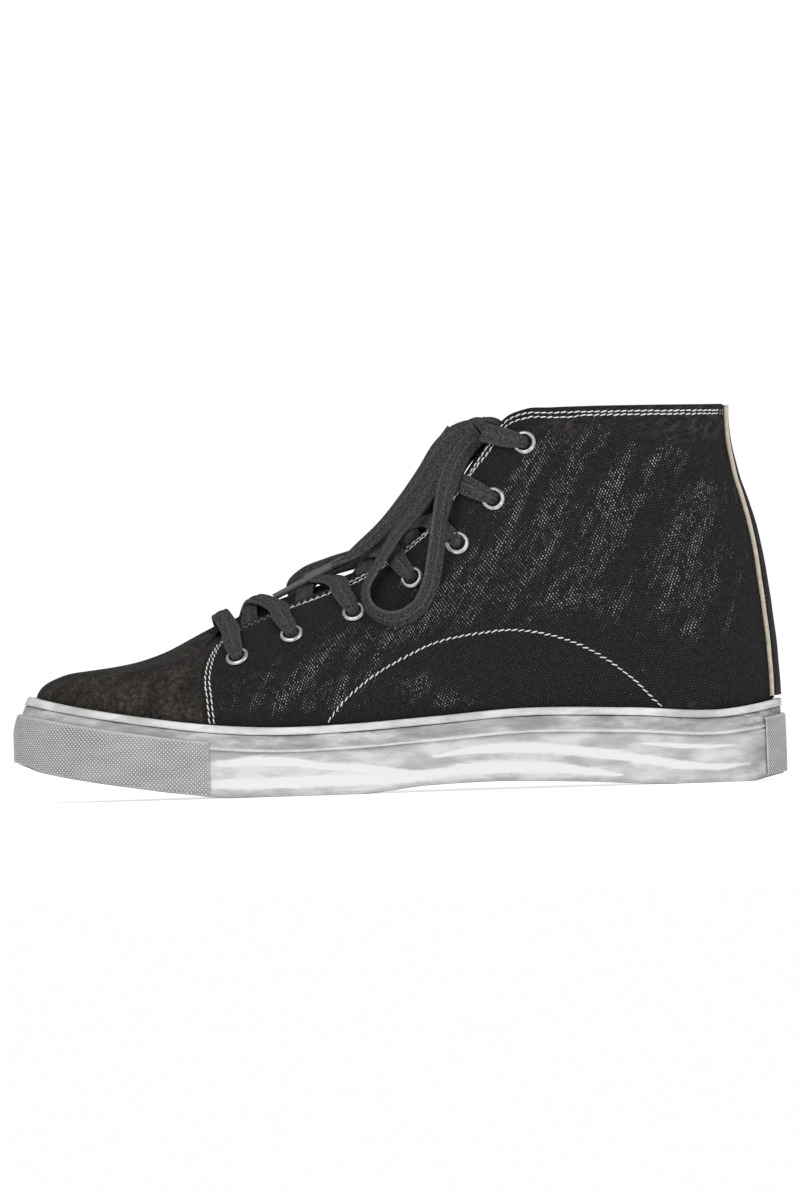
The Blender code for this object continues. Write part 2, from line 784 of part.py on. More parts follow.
def beside_heel(level, reach):
    """Angle on the outer side where the upper lies this far from the middle of the heel."""
    low, high = 0.0, 0.3
    for _ in range(24):
        middle = (low + high) / 2
        if -upper_point(middle, level).y < reach:
            low = middle
        else:
            high = middle
    return low


def stay_reach(level):
    return STAY_FOOT + (STAY_HEAD - STAY_FOOT) * level / TOP_LEVEL


def stay_depth(level, share):
    """Thickness of the stay: full at the foot, thinner towards the collar and its edges."""
    upward = max(0.0, level / TOP_LEVEL - 0.45) / 0.55
    return STAY_THICKNESS * (1 - STAY_TAPER * upward) * (1 - 0.3 * share ** 4)


def make_heel_stay():
    """Strip over the back seam, thick at the foot and thin at the collar."""
    shares = (-1.0, -0.5, 0.0, 0.5, 1.0)
    levels = [STAY_START] + LEVEL_KNOTS[1:]
    grid = []
    for share in shares:
        column = []
        for level in levels:
            angle = share * beside_heel(level, stay_reach(level))
            column.append(over_upper(angle % 2, level, GAP + stay_depth(level, share)))
        grid.append(column)
    piece = finish_mesh("heel_stay", grid_mesh("heel_stay", grid), (0.03, 0.03, 0.032), 0.9)
    wall = piece.vertex_groups.new(name="wall")
    for i, share in enumerate(shares):
        for k, level in enumerate(levels):
            depth = stay_depth(level, share) / STAY_THICKNESS
            wall.add([i * len(levels) + k], depth, "REPLACE")
    solidify(piece, STAY_THICKNESS).vertex_group = "wall"


def smooth_route(points, count):
    """Evenly spread points of the smooth curve through the chosen ones."""
    lengths = [0.0]
    for start, end in zip(points, points[1:]):
        lengths.append(lengths[-1] + (Vector(end) - Vector(start)).length)
    route = Table([(s,) + tuple(p) for s, p in zip(lengths, points)], free_slopes)
    places = [lengths[-1] * k / (count - 1) for k in range(count)]
    return [Vector([route.at(place, axis) for axis in range(3)]) for place in places]


def make_cord(name, points, radius, colour, roughness):
    """Round cord along a route, with closed ends."""
    curve = bpy.data.curves.new(name, "CURVE")
    curve.dimensions = "3D"
    curve.bevel_depth = radius
    curve.bevel_resolution = 2
    curve.use_fill_caps = True
    line = curve.splines.new("POLY")
    line.points.add(len(points) - 1)
    for spot, point in zip(line.points, points):
        spot.co = (*point, 1)
    finish_mesh(name, curve, colour, roughness)


def make_piping(name, side):
    """Cord beside the heel stay, from the cup's rim to the collar."""
    lift = PIPING_RADIUS + GAP
    points = []
    for level in [STAY_START] + LEVEL_KNOTS[1:]:
        angle = beside_heel(level, stay_reach(level) + PIPING_RADIUS + PIPING_PLAY)
        points.append(over_upper(side * angle % 2, level, lift))
    make_cord(name, points, PIPING_RADIUS, (0.6, 0.55, 0.42), 0.8)


def tongue_rung(angle, levels):
    """Points across the tongue at one place of the throat, from the outer to the inner side."""
    depth = WALL + TONGUE_PLAY
    outer = [over_upper(angle, level, -depth) for level in levels]
    inner = [over_upper(2 - angle, level, -depth) for level in reversed(levels)]
    start, end = outer[-1], inner[0]
    across = end - start
    lift = upper_normal(angle, TOP_LEVEL) + upper_normal(2 - angle, TOP_LEVEL)
    middle = []
    for k in range(1, TONGUE_STRIPS):
        share = k / TONGUE_STRIPS
        crown = TONGUE_CROWN * 4 * share * (1 - share)
        middle.append(start + across * share + lift.normalized() * crown)
    return outer + middle + inner


def tongue_front(level):
    """Points under the vamp's end, from the outer seam round the toe side to the inner seam."""
    depth = WALL + TONGUE_PLAY
    wings = [over_upper(SEAM_BACK, wing, -depth) for wing in (level - 1.6, level - 0.8)]
    far_wings = [over_upper(2 - SEAM_BACK, wing, -depth) for wing in (level - 0.8, level - 1.6)]
    span = 2 - 2 * SEAM_FRONT
    middle = []
    for k in range(TONGUE_STRIPS + 1):
        angle = SEAM_FRONT + span * k / TONGUE_STRIPS
        middle.append(over_upper(angle, level, -depth))
    return wings + middle + far_wings


def make_tongue():
    """Sheet sunk between the eyestays, its sides under them and its front under the vamp."""
    top = angle_of(TONGUE_TOP_STATION)
    levels = [TOP_LEVEL + below for below in TONGUE_LEVELS]
    rungs = []
    for k in range(TONGUE_RUNGS):
        angle = top + (SEAM_BACK - top) * k / TONGUE_RUNGS
        rungs.append(tongue_rung(angle, levels))
    rungs.append(tongue_front(TOP_LEVEL))
    rungs.append(tongue_front(TOP_LEVEL - 0.8))
    piece = finish_mesh("tongue", grid_mesh("tongue", rungs), (0.018, 0.018, 0.018), 0.9)
    solidify(piece, TONGUE_THICKNESS)


# Eyelets and lace

def make_eyelets():
    """Turned rings: a flange on the upper and a barrel through its hole."""
    profile = (
        (EYELET_HOLE, EYELET_HEIGHT),
        (EYELET_FLANGE - EYELET_HEIGHT / 2, EYELET_HEIGHT),
        (EYELET_FLANGE, 0),
        (EYELET_BARREL, 0),
        (EYELET_BARREL, -WALL),
        (EYELET_HOLE, -WALL),
    )
    mesh = bpy.data.meshes.new("eyelet")
    edges = [(k, (k + 1) % len(profile)) for k in range(len(profile))]
    mesh.from_pydata([(r, 0, z) for r, z in profile], edges, [])
    for index, spot in enumerate(EYELET_SPOTS):
        side = "inner" if index % 2 else "outer"
        name = f"eyelet_{side}_{index // 2 + 1}"
        if index == 0:
            ring = finish_mesh(name, mesh, (0.45, 0.44, 0.42), 0.35, 1.0)
        else:
            ring = bpy.data.objects.new(name, mesh)
            PARTS.objects.link(ring)
        ring.matrix_world = facing(over_upper(*spot, GAP), upper_normal(*spot))
        screw = ring.modifiers.new("turn", "SCREW")
        screw.steps = EYELET_STEPS
        screw.render_steps = EYELET_STEPS
        screw.use_merge_vertices = True
        screw.merge_threshold = 0.00001


def nearest_edge(spot):
    """Angle of the throat edge nearest to an eyelet."""
    centre = upper_point(*spot)
    best = None
    highest = angle_of(THROAT_STATION)
    for i in range(401):
        angle = highest + (SEAM_BACK - highest) * i / 400
        if spot[0] > 1:
            angle = 2 - angle
        miss = (top_point(angle) - centre).length
        if best is None or miss < best[0]:
            best = (miss, angle)
    return best[1]


def edge_frame(row, inner):
    """Throat edge beside a lace row: point, outward direction and direction to the middle."""
    angle = EDGE_TABLES[inner].at(row)
    point = top_point(angle)
    across = top_point(2 - angle) - point
    return point, upper_normal(angle, TOP_LEVEL), across.normalized()


def eyelet_lead(row, inner):
    """Places of a lace from the throat edge into its eyelet, with outward directions."""
    spot = EYELET_SPOTS[2 * (row - 1) + inner]
    lift = LACE_THICKNESS / 2 + LACE_LIFT
    edge, edge_normal, _ = edge_frame(row - LACE_SLANT, inner)
    edge_normal = (edge_normal * 2 + edge_frame(row - LACE_SLANT, 1 - inner)[1]).normalized()
    places = [(edge + edge_normal * (lift + LACE_EDGE_LIFT - LACE_LIFT), edge_normal)]
    between = edge.lerp(upper_point(*spot), 0.5)
    middle = locate(between.x, between.z, bool(inner))
    over_ring = lift + EYELET_HEIGHT + 3 * GAP
    places.append((over_upper(*middle, over_ring), upper_normal(*middle)))
    places.append((over_upper(*spot, over_ring), upper_normal(*spot)))
    return places


def strap_mesh(name, places, narrow=()):
    """Flat lace through places with outward directions; its narrow ends enter eyelets."""
    points = [place[0] for place in places]
    lengths = [0.0]
    for start, end in zip(points, points[1:]):
        lengths.append(lengths[-1] + (end - start).length)
    rows = []
    for length, (point, normal) in zip(lengths, places):
        rows.append((length, *point, *normal))
    table = Table(rows, free_slopes)
    count = 2 * len(places) - 1
    sections = []
    for k in range(count):
        place = lengths[-1] * k / (count - 1)
        centre = Vector([table.at(place, axis) for axis in range(3)])
        normal = Vector([table.at(place, axis) for axis in range(3, 6)]).normalized()
        near = max(0.0, place - 0.0005)
        far = min(lengths[-1], place + 0.0005)
        run = Vector([table.at(far, axis) - table.at(near, axis) for axis in range(3)])
        side = normal.cross(run).normalized()
        up = run.cross(side).normalized()
        half = LACE_WIDTH / 2
        if (k == 0 and "start" in narrow) or (k == count - 1 and "end" in narrow):
            half = EYELET_HOLE
        up *= LACE_THICKNESS / 2
        sections.append([centre + side * half + up, centre - side * half + up,
                         centre - side * half - up, centre + side * half - up])

    def build(work):
        rows = add_rings(work, sections)
        work.faces.new(rows[0])
        work.faces.new(rows[-1])
    return mesh_from(name, build)


def arched(start, end, outward, row):
    """Places of a slack lace between two points, standing off the straight line."""
    normal = outward.normalized()
    places = []
    for share in (0.25, 0.5, 0.75):
        rise = LACE_ARCH[row - 1] * 4 * share * (1 - share)
        places.append((start.lerp(end, share) + normal * rise, normal))
    return places


def crossing_places(row, inner):
    """Lace from under the far edge of the row below, across the tongue and into an eyelet."""
    far_edge, far_normal, to_middle = edge_frame(row - 1 + LACE_RISE, 1 - inner)
    start = far_edge + to_middle * LACE_START + far_normal * GAP
    lead = eyelet_lead(row, inner)
    return [(start, far_normal)] + arched(start, lead[0][0], far_normal + lead[0][1], row) + lead


def make_laces():
    """Bar at the lowest row, a crossing at each row above it and a bar at the top row."""
    dark = (0.045, 0.045, 0.048)
    for row in range(2, len(EYELETS)):
        name = f"lace_cross_{row}"
        piece = finish_mesh(name, strap_mesh(name, crossing_places(row, 0), ("end",)), dark, 0.9)
        other = bpy.data.objects.new(f"{name}_under", strap_mesh(name, crossing_places(row, 1), ("end",)))
        other.hide_render = True
        other.display_type = "WIRE"
        CUTTERS.objects.link(other)
        join = piece.modifiers.new("join", "BOOLEAN")
        join.operation = "UNION"
        join.solver = "EXACT"
        join.object = other
    for name, row in (("lace_bar", 1), ("lace_top", len(EYELETS))):
        outer = eyelet_lead(row, 0)
        inner = eyelet_lead(row, 1)
        middle = arched(outer[0][0], inner[0][0], outer[0][1] + inner[0][1], row)
        places = outer[::-1] + middle + inner
        finish_mesh(name, strap_mesh(name, places, ("start", "end")), dark, 0.9)


def route_length(points):
    return sum((Vector(end) - Vector(start)).length for start, end in zip(points, points[1:]))


def make_bow():
    """Knot on the top bar, two loops, two free ends and their tips."""
    dark = (0.045, 0.045, 0.048)

    def build(work):
        turn = Matrix.Rotation(math.radians(THROAT_LEAN - 90), 4, "Y")
        place = Matrix.Translation(KNOT_PLACE) @ turn @ Matrix.Diagonal((*KNOT_SIZE, 1))
        bmesh.ops.create_uvsphere(work, u_segments=12, v_segments=8, radius=1, matrix=place)
    finish_mesh("lace_knot", mesh_from("lace_knot", build), dark, 0.9)
    for name, route in BOW.items():
        count = round(route_length(route) / CORD_STEP) + 1
        make_cord(name, smooth_route(route, count), CORD_RADIUS, dark, 0.9)
    for name, route in AGLETS.items():
        make_cord(name, [Vector(point) for point in route], AGLET_RADIUS, (0.03, 0.03, 0.03), 0.4)


# Build

for leftover in list(bpy.data.objects):
    bpy.data.objects.remove(leftover)

PARTS = bpy.data.collections.new("High_Top_Sneaker")
CUTTERS = bpy.data.collections.new("Cutters")
bpy.context.scene.collection.children.link(PARTS)
bpy.context.scene.collection.children.link(CUTTERS)

SURVEYS = (survey(False), survey(True))
EYELET_SPOTS = []
for row_run, row_height in EYELETS:
    for is_inner in (False, True):
        EYELET_SPOTS.append(locate(LENGTH * (0.5 - row_run), HEIGHT * row_height, is_inner))

make_cupsole()
make_foxing_strip()
make_bumpers()
make_insole()
EDGE_TABLES = [
    Table([(k + 1, nearest_edge(EYELET_SPOTS[2 * k + side])) for k in range(len(EYELETS))], free_slopes)
    for side in (0, 1)
]
make_upper()
make_heel_stay()
make_piping("heel_piping_outer", 1)
make_piping("heel_piping_inner", -1)
make_tongue()
make_eyelets()
make_laces()
make_bow()
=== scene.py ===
"""High top sneaker for the left foot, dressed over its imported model.

Metres throughout. Toe towards -X, heel towards +X, outer side towards -Y, floor at Z = 0.
Places round the shoe are angles: heel 0, outer side, toe 1, inner side, heel 2. Levels run up
the upper: 0 at the cup's rim and 10 at the throat or collar edge.
"""

import logging
import math
from dataclasses import dataclass, field
from enum import Enum
from typing import Callable, Sequence

import bpy
import numpy as np
from mathutils import Matrix, Vector
from mathutils.bvhtree import BVHTree


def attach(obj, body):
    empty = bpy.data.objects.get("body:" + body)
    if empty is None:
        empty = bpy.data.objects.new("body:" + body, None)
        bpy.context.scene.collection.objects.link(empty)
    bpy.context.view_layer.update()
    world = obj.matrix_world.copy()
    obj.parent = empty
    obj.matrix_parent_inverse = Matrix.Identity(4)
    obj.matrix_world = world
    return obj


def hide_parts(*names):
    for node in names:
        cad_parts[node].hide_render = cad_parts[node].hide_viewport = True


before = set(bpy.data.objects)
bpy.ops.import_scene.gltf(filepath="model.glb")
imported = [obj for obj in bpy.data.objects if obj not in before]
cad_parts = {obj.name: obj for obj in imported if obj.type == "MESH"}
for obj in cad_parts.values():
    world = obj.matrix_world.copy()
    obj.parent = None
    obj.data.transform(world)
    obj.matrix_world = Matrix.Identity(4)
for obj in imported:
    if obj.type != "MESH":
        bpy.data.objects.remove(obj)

log = logging.getLogger("sneaker")

Points = np.ndarray
Colour = tuple[float, float, float]
ROOT = "root"
TOP_LEVEL = 10
BRAID_HALF_WIDTH = 0.004


class Side(Enum):
    """Side of the shoe: the sign of Y that it lies towards."""

    OUTER = -1
    INNER = 1


# Number helpers


def unit(vectors: Points) -> Points:
    """Vectors scaled to length one."""
    return vectors / np.maximum(np.linalg.norm(vectors, axis=-1, keepdims=True), 1e-12)


def ramp(value: Points, low: float, high: float) -> Points:
    """Smooth step from 0 at low to 1 at high."""
    share = np.clip((value - low) / (high - low), 0.0, 1.0)
    return share * share * (3 - 2 * share)


def run_lengths(points: Points) -> Points:
    """Length from the start of a line of points to each of them."""
    return np.concatenate([[0], np.cumsum(np.linalg.norm(np.diff(points, axis=0), axis=1))])


class Curve:
    """Smooth columns of a table of rows, read by the first column."""

    def __init__(self, rows: Sequence[Sequence[float]], free: bool = True) -> None:
        """Prepare the slopes.

        Args:
            rows: Rows of a knot and its values.
            free: Whether slopes follow parabolas, or lie level where the values turn.
        """
        data = np.array(rows, dtype=float)
        data = data[np.argsort(data[:, 0])]
        self.knots = data[:, 0]
        self.values = data[:, 1:]
        step = np.diff(self.knots)[:, None]
        rise = np.diff(self.values, axis=0) / step
        self.slopes = np.zeros_like(self.values)
        if free:
            mixed = (rise[:-1] * step[1:] + rise[1:] * step[:-1]) / (step[:-1] + step[1:])
            self.slopes[1:-1] = mixed
            self.slopes[0] = 2 * rise[0] - self.slopes[1]
            self.slopes[-1] = 2 * rise[-1] - self.slopes[-2]
        else:
            same = rise[:-1] * rise[1:] > 0
            total = np.where(same, rise[:-1] + rise[1:], 1.0)
            self.slopes[1:-1] = np.where(same, 2 * rise[:-1] * rise[1:] / total, 0.0)

    def at(self, place: Points, column: int = 0) -> Points:
        """Value of one column at each place.

        Args:
            place: Where to read.
            column: Which value column.

        Returns:
            Values in the shape of place.
        """
        place = np.asarray(place, dtype=float)
        i = np.clip(np.searchsorted(self.knots, place, side="left") - 1, 0, len(self.knots) - 2)
        span = self.knots[i + 1] - self.knots[i]
        u = (place - self.knots[i]) / span
        value = self.values[:, column]
        slope = self.slopes[:, column]
        return (
            (1 + 2 * u) * (1 - u) ** 2 * value[i]
            + u * (1 - u) ** 2 * span * slope[i]
            + u * u * (3 - 2 * u) * value[i + 1]
            + u * u * (u - 1) * span * slope[i + 1]
        )


def ring_curve(rows: Sequence[Sequence[float]]) -> Curve:
    """Curve round the whole shoe from rows of an angle and values."""
    rows = sorted(tuple(row) for row in rows)
    before = [(row[0] - 2,) + row[1:] for row in rows[-3:]]
    after = [(row[0] + 2,) + row[1:] for row in rows[:3]]
    return Curve(before + rows + after)


def angle_of(station: float) -> float:
    """Angle on the outer side of a station from toe 0 to heel 1."""
    return math.acos(max(-1.0, min(1.0, 2 * station - 1))) / math.pi


def station_of(angle: Points) -> Points:
    """Station from toe 0 to heel 1 of an angle."""
    return 0.5 + 0.5 * np.cos(np.pi * angle)


def smooth_route(points: Sequence[Sequence[float]], step: float) -> Points:
    """Evenly spread points of the smooth curve through the chosen ones.

    Args:
        points: Chosen rows, a place in the first three columns and anything after it.
        step: Distance between the result's points.

    Returns:
        Rows with as many columns as the chosen ones.
    """
    data = np.array(points, dtype=float)
    lengths = run_lengths(data[:, :3])
    curve = Curve(np.column_stack([lengths, data]))
    fine = np.linspace(0, lengths[-1], 600)
    dense = np.column_stack([curve.at(fine, k) for k in range(data.shape[1])])
    run = run_lengths(dense[:, :3])
    count = max(3, round(run[-1] / step) + 1)
    places = np.linspace(0, run[-1], count)
    return np.column_stack([np.interp(places, run, dense[:, k]) for k in range(data.shape[1])])


# Form of the shoe


@dataclass
class Last:
    """Form of the shoe: sole outline, cup heights and the surface of the upper."""

    length: float = 0.300
    ball_width: float = 0.1044
    height: float = 0.1468
    sole_height: float = 0.0312
    toe_spring: float = 0.0154
    gap: float = 0.0003
    lean: float = 0.0050
    straight: float = 0.45
    strip_thickness: float = 0.0009
    rim_thickness: float = 0.0013
    bumper_thickness: float = 0.0009
    seam_station: float = 0.2500
    seam_step: float = 0.0008
    # Rows of a station and the outline's reach to the outer and inner side
    outline_rows: tuple = (
        (1.000, 0.000, 0.000), (0.985, 0.330, 0.330), (0.955, 0.540, 0.535),
        (0.900, 0.690, 0.675), (0.820, 0.755, 0.720), (0.700, 0.780, 0.675),
        (0.580, 0.840, 0.660), (0.480, 0.930, 0.745), (0.380, 0.998, 0.895),
        (0.280, 0.965, 0.975), (0.190, 0.865, 0.960), (0.110, 0.700, 0.880),
        (0.050, 0.480, 0.715), (0.015, 0.220, 0.490), (0.000, -0.130, 0.130),
    )
    # Rows of a station and a share of the toe spring
    ground_rows: tuple = (
        (0.00, 1.00), (0.03, 0.80), (0.09, 0.54), (0.15, 0.34), (0.21, 0.16), (0.29, 0.00),
        (0.44, 0.00), (0.54, 0.17), (0.62, 0.21), (0.74, 0.13), (0.86, 0.00), (0.95, 0.00),
        (1.00, 0.16),
    )
    # Rows of a station, the cup's top and floor as shares of the sole height, and a share of the lean
    cup_rows: tuple = (
        (0.00, 1.330, 0.810, 1.00), (0.07, 1.190, 0.660, 0.82), (0.16, 1.040, 0.520, 0.52),
        (0.25, 0.920, 0.425, 0.32), (0.34, 0.860, 0.400, 0.26), (0.43, 0.872, 0.400, 0.24),
        (0.54, 0.930, 0.430, 0.24), (0.66, 1.000, 0.465, 0.22), (0.80, 0.965, 0.500, 0.18),
        (0.93, 0.912, 0.520, 0.12), (1.00, 1.020, 0.525, 0.08),
    )
    # Rows of a station, the edge's run from the heel, height, half width and shift, and the profile used
    section_rows: tuple = (
        (1.000, 0.0660, 0.9945, 0.000, 0.000, 4.00), (0.985, 0.0695, 0.9945, 0.180, 0.000, 3.90),
        (0.955, 0.0850, 0.9950, 0.355, 0.000, 3.65), (0.900, 0.1220, 0.9965, 0.515, 0.000, 3.25),
        (0.820, 0.1820, 0.9985, 0.600, 0.000, 3.00), (0.740, 0.2430, 1.0000, 0.610, 0.000, 2.90),
        (0.670, 0.2930, 1.0000, 0.575, 0.000, 2.70), (0.620, 0.3270, 0.9985, 0.530, 0.002, 2.50),
        (0.585, 0.3510, 0.9790, 0.490, 0.006, 2.35), (0.550, 0.3710, 0.9280, 0.462, 0.010, 2.20),
        (0.510, 0.4000, 0.8365, 0.430, 0.016, 2.05), (0.470, 0.4350, 0.7355, 0.392, 0.024, 1.95),
        (0.430, 0.4750, 0.6630, 0.355, 0.033, 1.80), (0.390, 0.5233, 0.6000, 0.322, 0.043, 1.60),
        (0.350, 0.5800, 0.5490, 0.297, 0.053, 1.40), (0.310, 0.6367, 0.5055, 0.278, 0.063, 1.20),
        (0.275, 0.6890, 0.4625, 0.264, 0.073, 1.05), (0.250, 0.7200, 0.4330, 0.240, 0.080, 0.95),
        (0.190, 0.7277, 0.4455, 0.172, 0.083, 0.72), (0.120, 0.7320, 0.4545, 0.111, 0.085, 0.50),
        (0.050, 0.7333, 0.4585, 0.054, 0.087, 0.22), (0.000, 0.7337, 0.4600, 0.000, 0.087, 0.00),
    )
    # Wall profiles from rim to edge, as shares inwards and upwards at each level
    profiles: tuple = (
        ((0.000, 0.000), (0.015, 0.085), (0.045, 0.175), (0.100, 0.265), (0.185, 0.345), (0.300, 0.385),
         (0.430, 0.425), (0.570, 0.490), (0.710, 0.625), (0.860, 0.810), (1.000, 1.000)),
        ((0.000, 0.000), (-0.020, 0.140), (-0.010, 0.280), (0.040, 0.420), (0.120, 0.550), (0.230, 0.665),
         (0.370, 0.770), (0.530, 0.860), (0.690, 0.925), (0.850, 0.970), (1.000, 1.000)),
        ((0.000, 0.000), (-0.020, 0.100), (0.000, 0.200), (0.060, 0.310), (0.140, 0.420), (0.250, 0.530),
         (0.380, 0.635), (0.520, 0.735), (0.680, 0.830), (0.840, 0.918), (1.000, 1.000)),
        ((0.000, 0.000), (-0.050, 0.070), (0.020, 0.150), (0.180, 0.240), (0.360, 0.340), (0.500, 0.450),
         (0.610, 0.560), (0.700, 0.670), (0.790, 0.780), (0.890, 0.890), (1.000, 1.000)),
        ((0.000, 0.000), (0.012, 0.070), (0.042, 0.150), (0.100, 0.240), (0.185, 0.340), (0.285, 0.450),
         (0.410, 0.560), (0.615, 0.670), (0.850, 0.780), (0.990, 0.890), (1.000, 1.000)),
    )

    def __post_init__(self) -> None:
        """Turn the tables into curves."""
        outline = []
        for station, outer, inner in self.outline_rows:
            angle = angle_of(station)
            outline.append((angle, -outer))
            if 0 < angle < 1:
                outline.append((2 - angle, inner))
        sections = []
        for station, run, height, half, shift, form in self.section_rows:
            angle = angle_of(station)
            sections.append((angle, run, height, shift - half, form))
            if 0 < angle < 1:
                sections.append((2 - angle, run, height, shift + half, form))
        self.outline_curve = ring_curve(outline)
        self.section_curve = ring_curve(sections)
        self.ground_curve = Curve(self.ground_rows, free=False)
        self.cup_curve = Curve(self.cup_rows)
        self.profile_curves = [Curve([(k, *row) for k, row in enumerate(rows)]) for rows in self.profiles]
        self.cup_length = self.length - 2 * (self.bumper_thickness + self.gap)
        self.seam_back = angle_of(self.seam_station + self.seam_step / self.cup_length / 2)
        self.seam_front = angle_of(self.seam_station - self.seam_step / self.cup_length / 2)

    def outline_point(self, angle: Points) -> Points:
        """Points of the cup's outline on the floor plane."""
        x = self.cup_length / 2 * np.cos(np.pi * angle)
        y = self.ball_width / 2 * self.outline_curve.at(np.mod(angle, 2))
        return np.stack([x, y, np.zeros_like(x)], axis=-1)

    def inset_point(self, angle: Points, inset: Points, z: Points) -> Points:
        """Points inside the outline, measured square to it.

        Args:
            angle: Places round the shoe.
            inset: Distance inward.
            z: Height.

        Returns:
            Points in the shape of angle.
        """
        angle = np.asarray(angle, dtype=float)
        run = self.outline_point(angle + 0.002) - self.outline_point(angle - 0.002)
        inward = unit(np.stack([run[..., 1], -run[..., 0], np.zeros_like(angle)], axis=-1))
        point = self.outline_point(angle) + inward * (np.asarray(inset) + np.zeros_like(angle))[..., None]
        point[..., 2] = z
        return point

    def ground_at(self, x: Points) -> Points:
        """Height of the tread at a place along the shoe."""
        return self.toe_spring * self.ground_curve.at(np.clip(x / self.cup_length + 0.5, 0, 1))

    def cup_top(self, angle: Points) -> Points:
        """Height of the cup's top edge."""
        return self.sole_height * self.cup_curve.at(station_of(angle), 0)

    def cup_floor(self, angle: Points) -> Points:
        """Height of the floor inside the cup."""
        return self.sole_height * self.cup_curve.at(station_of(angle), 1)

    def side_inset(self, angle: Points, z: Points) -> Points:
        """How far the side wall has drawn in at a height."""
        low = self.ground_at(self.outline_point(angle)[..., 0])
        level = (z - low) / (self.cup_top(angle) - low)
        rise = np.maximum(0, (level - self.straight) / (1 - self.straight))
        return self.lean * self.cup_curve.at(station_of(angle), 2) * rise**1.5

    def rim_point(self, angle: Points) -> Points:
        """Foot of the upper's outer surface at the cup's rim."""
        top = self.cup_top(angle)
        inset = self.side_inset(angle, top) + self.strip_thickness + 2 * self.gap + self.rim_thickness
        return self.inset_point(angle, inset, top)

    def top_point(self, angle: Points) -> Points:
        """Point of the collar or throat edge."""
        angle = np.mod(angle, 2)
        return np.stack([
            self.length * (0.5 - self.section_curve.at(angle, 0)),
            self.ball_width / 2 * self.section_curve.at(angle, 2),
            self.height * self.section_curve.at(angle, 1),
        ], axis=-1)

    def upper_point(self, angle: Points, level: Points) -> Points:
        """Outer surface of the upper.

        Args:
            angle: Places round the shoe.
            level: Heights from 0 at the rim to 10 at the edge, below 0 inside the cup.

        Returns:
            Points, one for each pair.
        """
        angle, level = np.broadcast_arrays(np.asarray(angle, dtype=float), np.asarray(level, dtype=float))
        turned = np.mod(angle, 2)
        rim = self.rim_point(turned)
        top = self.top_point(turned)
        form = self.section_curve.at(turned, 3)
        lower = np.clip(np.floor(form), 0, len(self.profiles) - 2).astype(int)
        mix = np.clip(form - lower, 0, 1)
        mix = mix * mix * (3 - 2 * mix) * 0.5 + mix * 0.5
        up = np.maximum(level, 0)
        shares = []
        for column in (0, 1):
            every = np.stack([curve.at(up, column) for curve in self.profile_curves])
            first = np.take_along_axis(every, lower[None], axis=0)[0]
            second = np.take_along_axis(every, lower[None] + 1, axis=0)[0]
            shares.append(first * (1 - mix) + second * mix)
        point = rim + (top - rim) * shares[0][..., None]
        point[..., 2] = rim[..., 2] + (top[..., 2] - rim[..., 2]) * shares[1]
        floor = self.cup_floor(turned) + self.gap
        below = np.minimum(level, 0)
        point[..., 2] += (rim[..., 2] - floor) * below
        return point

    def upper_normal(self, angle: Points, level: Points) -> Points:
        """Outward directions of the upper's surface."""
        level = np.asarray(level, dtype=float)
        low = np.clip(level - 0.1, 0, TOP_LEVEL - 0.2)
        up = self.upper_point(angle, low + 0.2) - self.upper_point(angle, low)
        angle = np.asarray(angle, dtype=float)
        run = self.upper_point(angle + 0.004, np.maximum(level, 0)) - self.upper_point(
            angle - 0.004, np.maximum(level, 0)
        )
        return unit(np.cross(up, run))

    def even_angles(self, count: int) -> Points:
        """Angles round the whole shoe at even steps along the outline."""
        fine = np.linspace(0, 2, 4001)
        run = run_lengths(self.outline_point(fine))
        return np.interp(np.linspace(0, run[-1], count + 1)[:-1], run, fine)


LAST = Last()


# Creases of the upper, in side-view millimetres


@dataclass(frozen=True)
class Crease:
    """Soft trough or ridge of the upper between two places seen from the side."""

    start: tuple[float, float]
    end: tuple[float, float]
    depth: float
    width: float
    sides: tuple[Side, ...] = (Side.OUTER, Side.INNER)

    def lift(self, points: Points) -> Points:
        """Outward shift of points on the upper.

        Args:
            points: Points in metres.

        Returns:
            Shift in metres, negative in a trough.
        """
        flat = points[..., [0, 2]] * 1000
        start = np.array(self.start)
        run = np.array(self.end) - start
        share = np.clip(((flat - start) @ run) / (run @ run), 0, 1)
        away = np.linalg.norm(flat - start - share[..., None] * run, axis=-1)
        side = np.where(points[..., 1] < 0, Side.OUTER.value, Side.INNER.value)
        kept = np.isin(side, [s.value for s in self.sides])
        fade = 0.35 + 0.65 * np.sin(np.pi * np.clip(share, 0.02, 0.98))
        return -self.depth / 1000 * fade * kept * np.exp(-((away / self.width) ** 2))


CREASES = (
    Crease((-100, 44), (-84, 58), 0.45, 5.0),
    Crease((-112, 41), (-98, 53), -0.25, 5.0),
    Crease((-88, 40), (-76, 50), 0.3, 4.0),
    Crease((60, 120), (52, 92), 0.7, 5.5),
    Crease((52, 92), (38, 70), 0.5, 6.0),
    Crease((72, 124), (66, 96), -0.5, 6.0),
    Crease((84, 128), (100, 96), 0.6, 7.0),
    Crease((100, 96), (112, 74), 0.45, 7.0),
    Crease((20, 92), (8, 66), 0.5, 5.0),
    Crease((8, 66), (-6, 48), 0.35, 6.0),
    Crease((120, 128), (124, 104), 0.5, 5.0),
    Crease((-20, 60), (-34, 44), 0.3, 5.0),
    Crease((60, 50), (90, 42), -0.3, 7.0),
)


def creased(points: Points, normals: Points) -> Points:
    """Points of the upper moved by every crease and a slow unevenness."""
    shift = sum(crease.lift(points) for crease in CREASES)
    x, z = points[..., 0], points[..., 2]
    shift = shift + 0.00012 * np.sin(x * 210 + 2 * np.sin(z * 130)) * np.sin(z * 170 + points[..., 1] * 90)
    return points + normals * shift[..., None]


# Mesh helpers


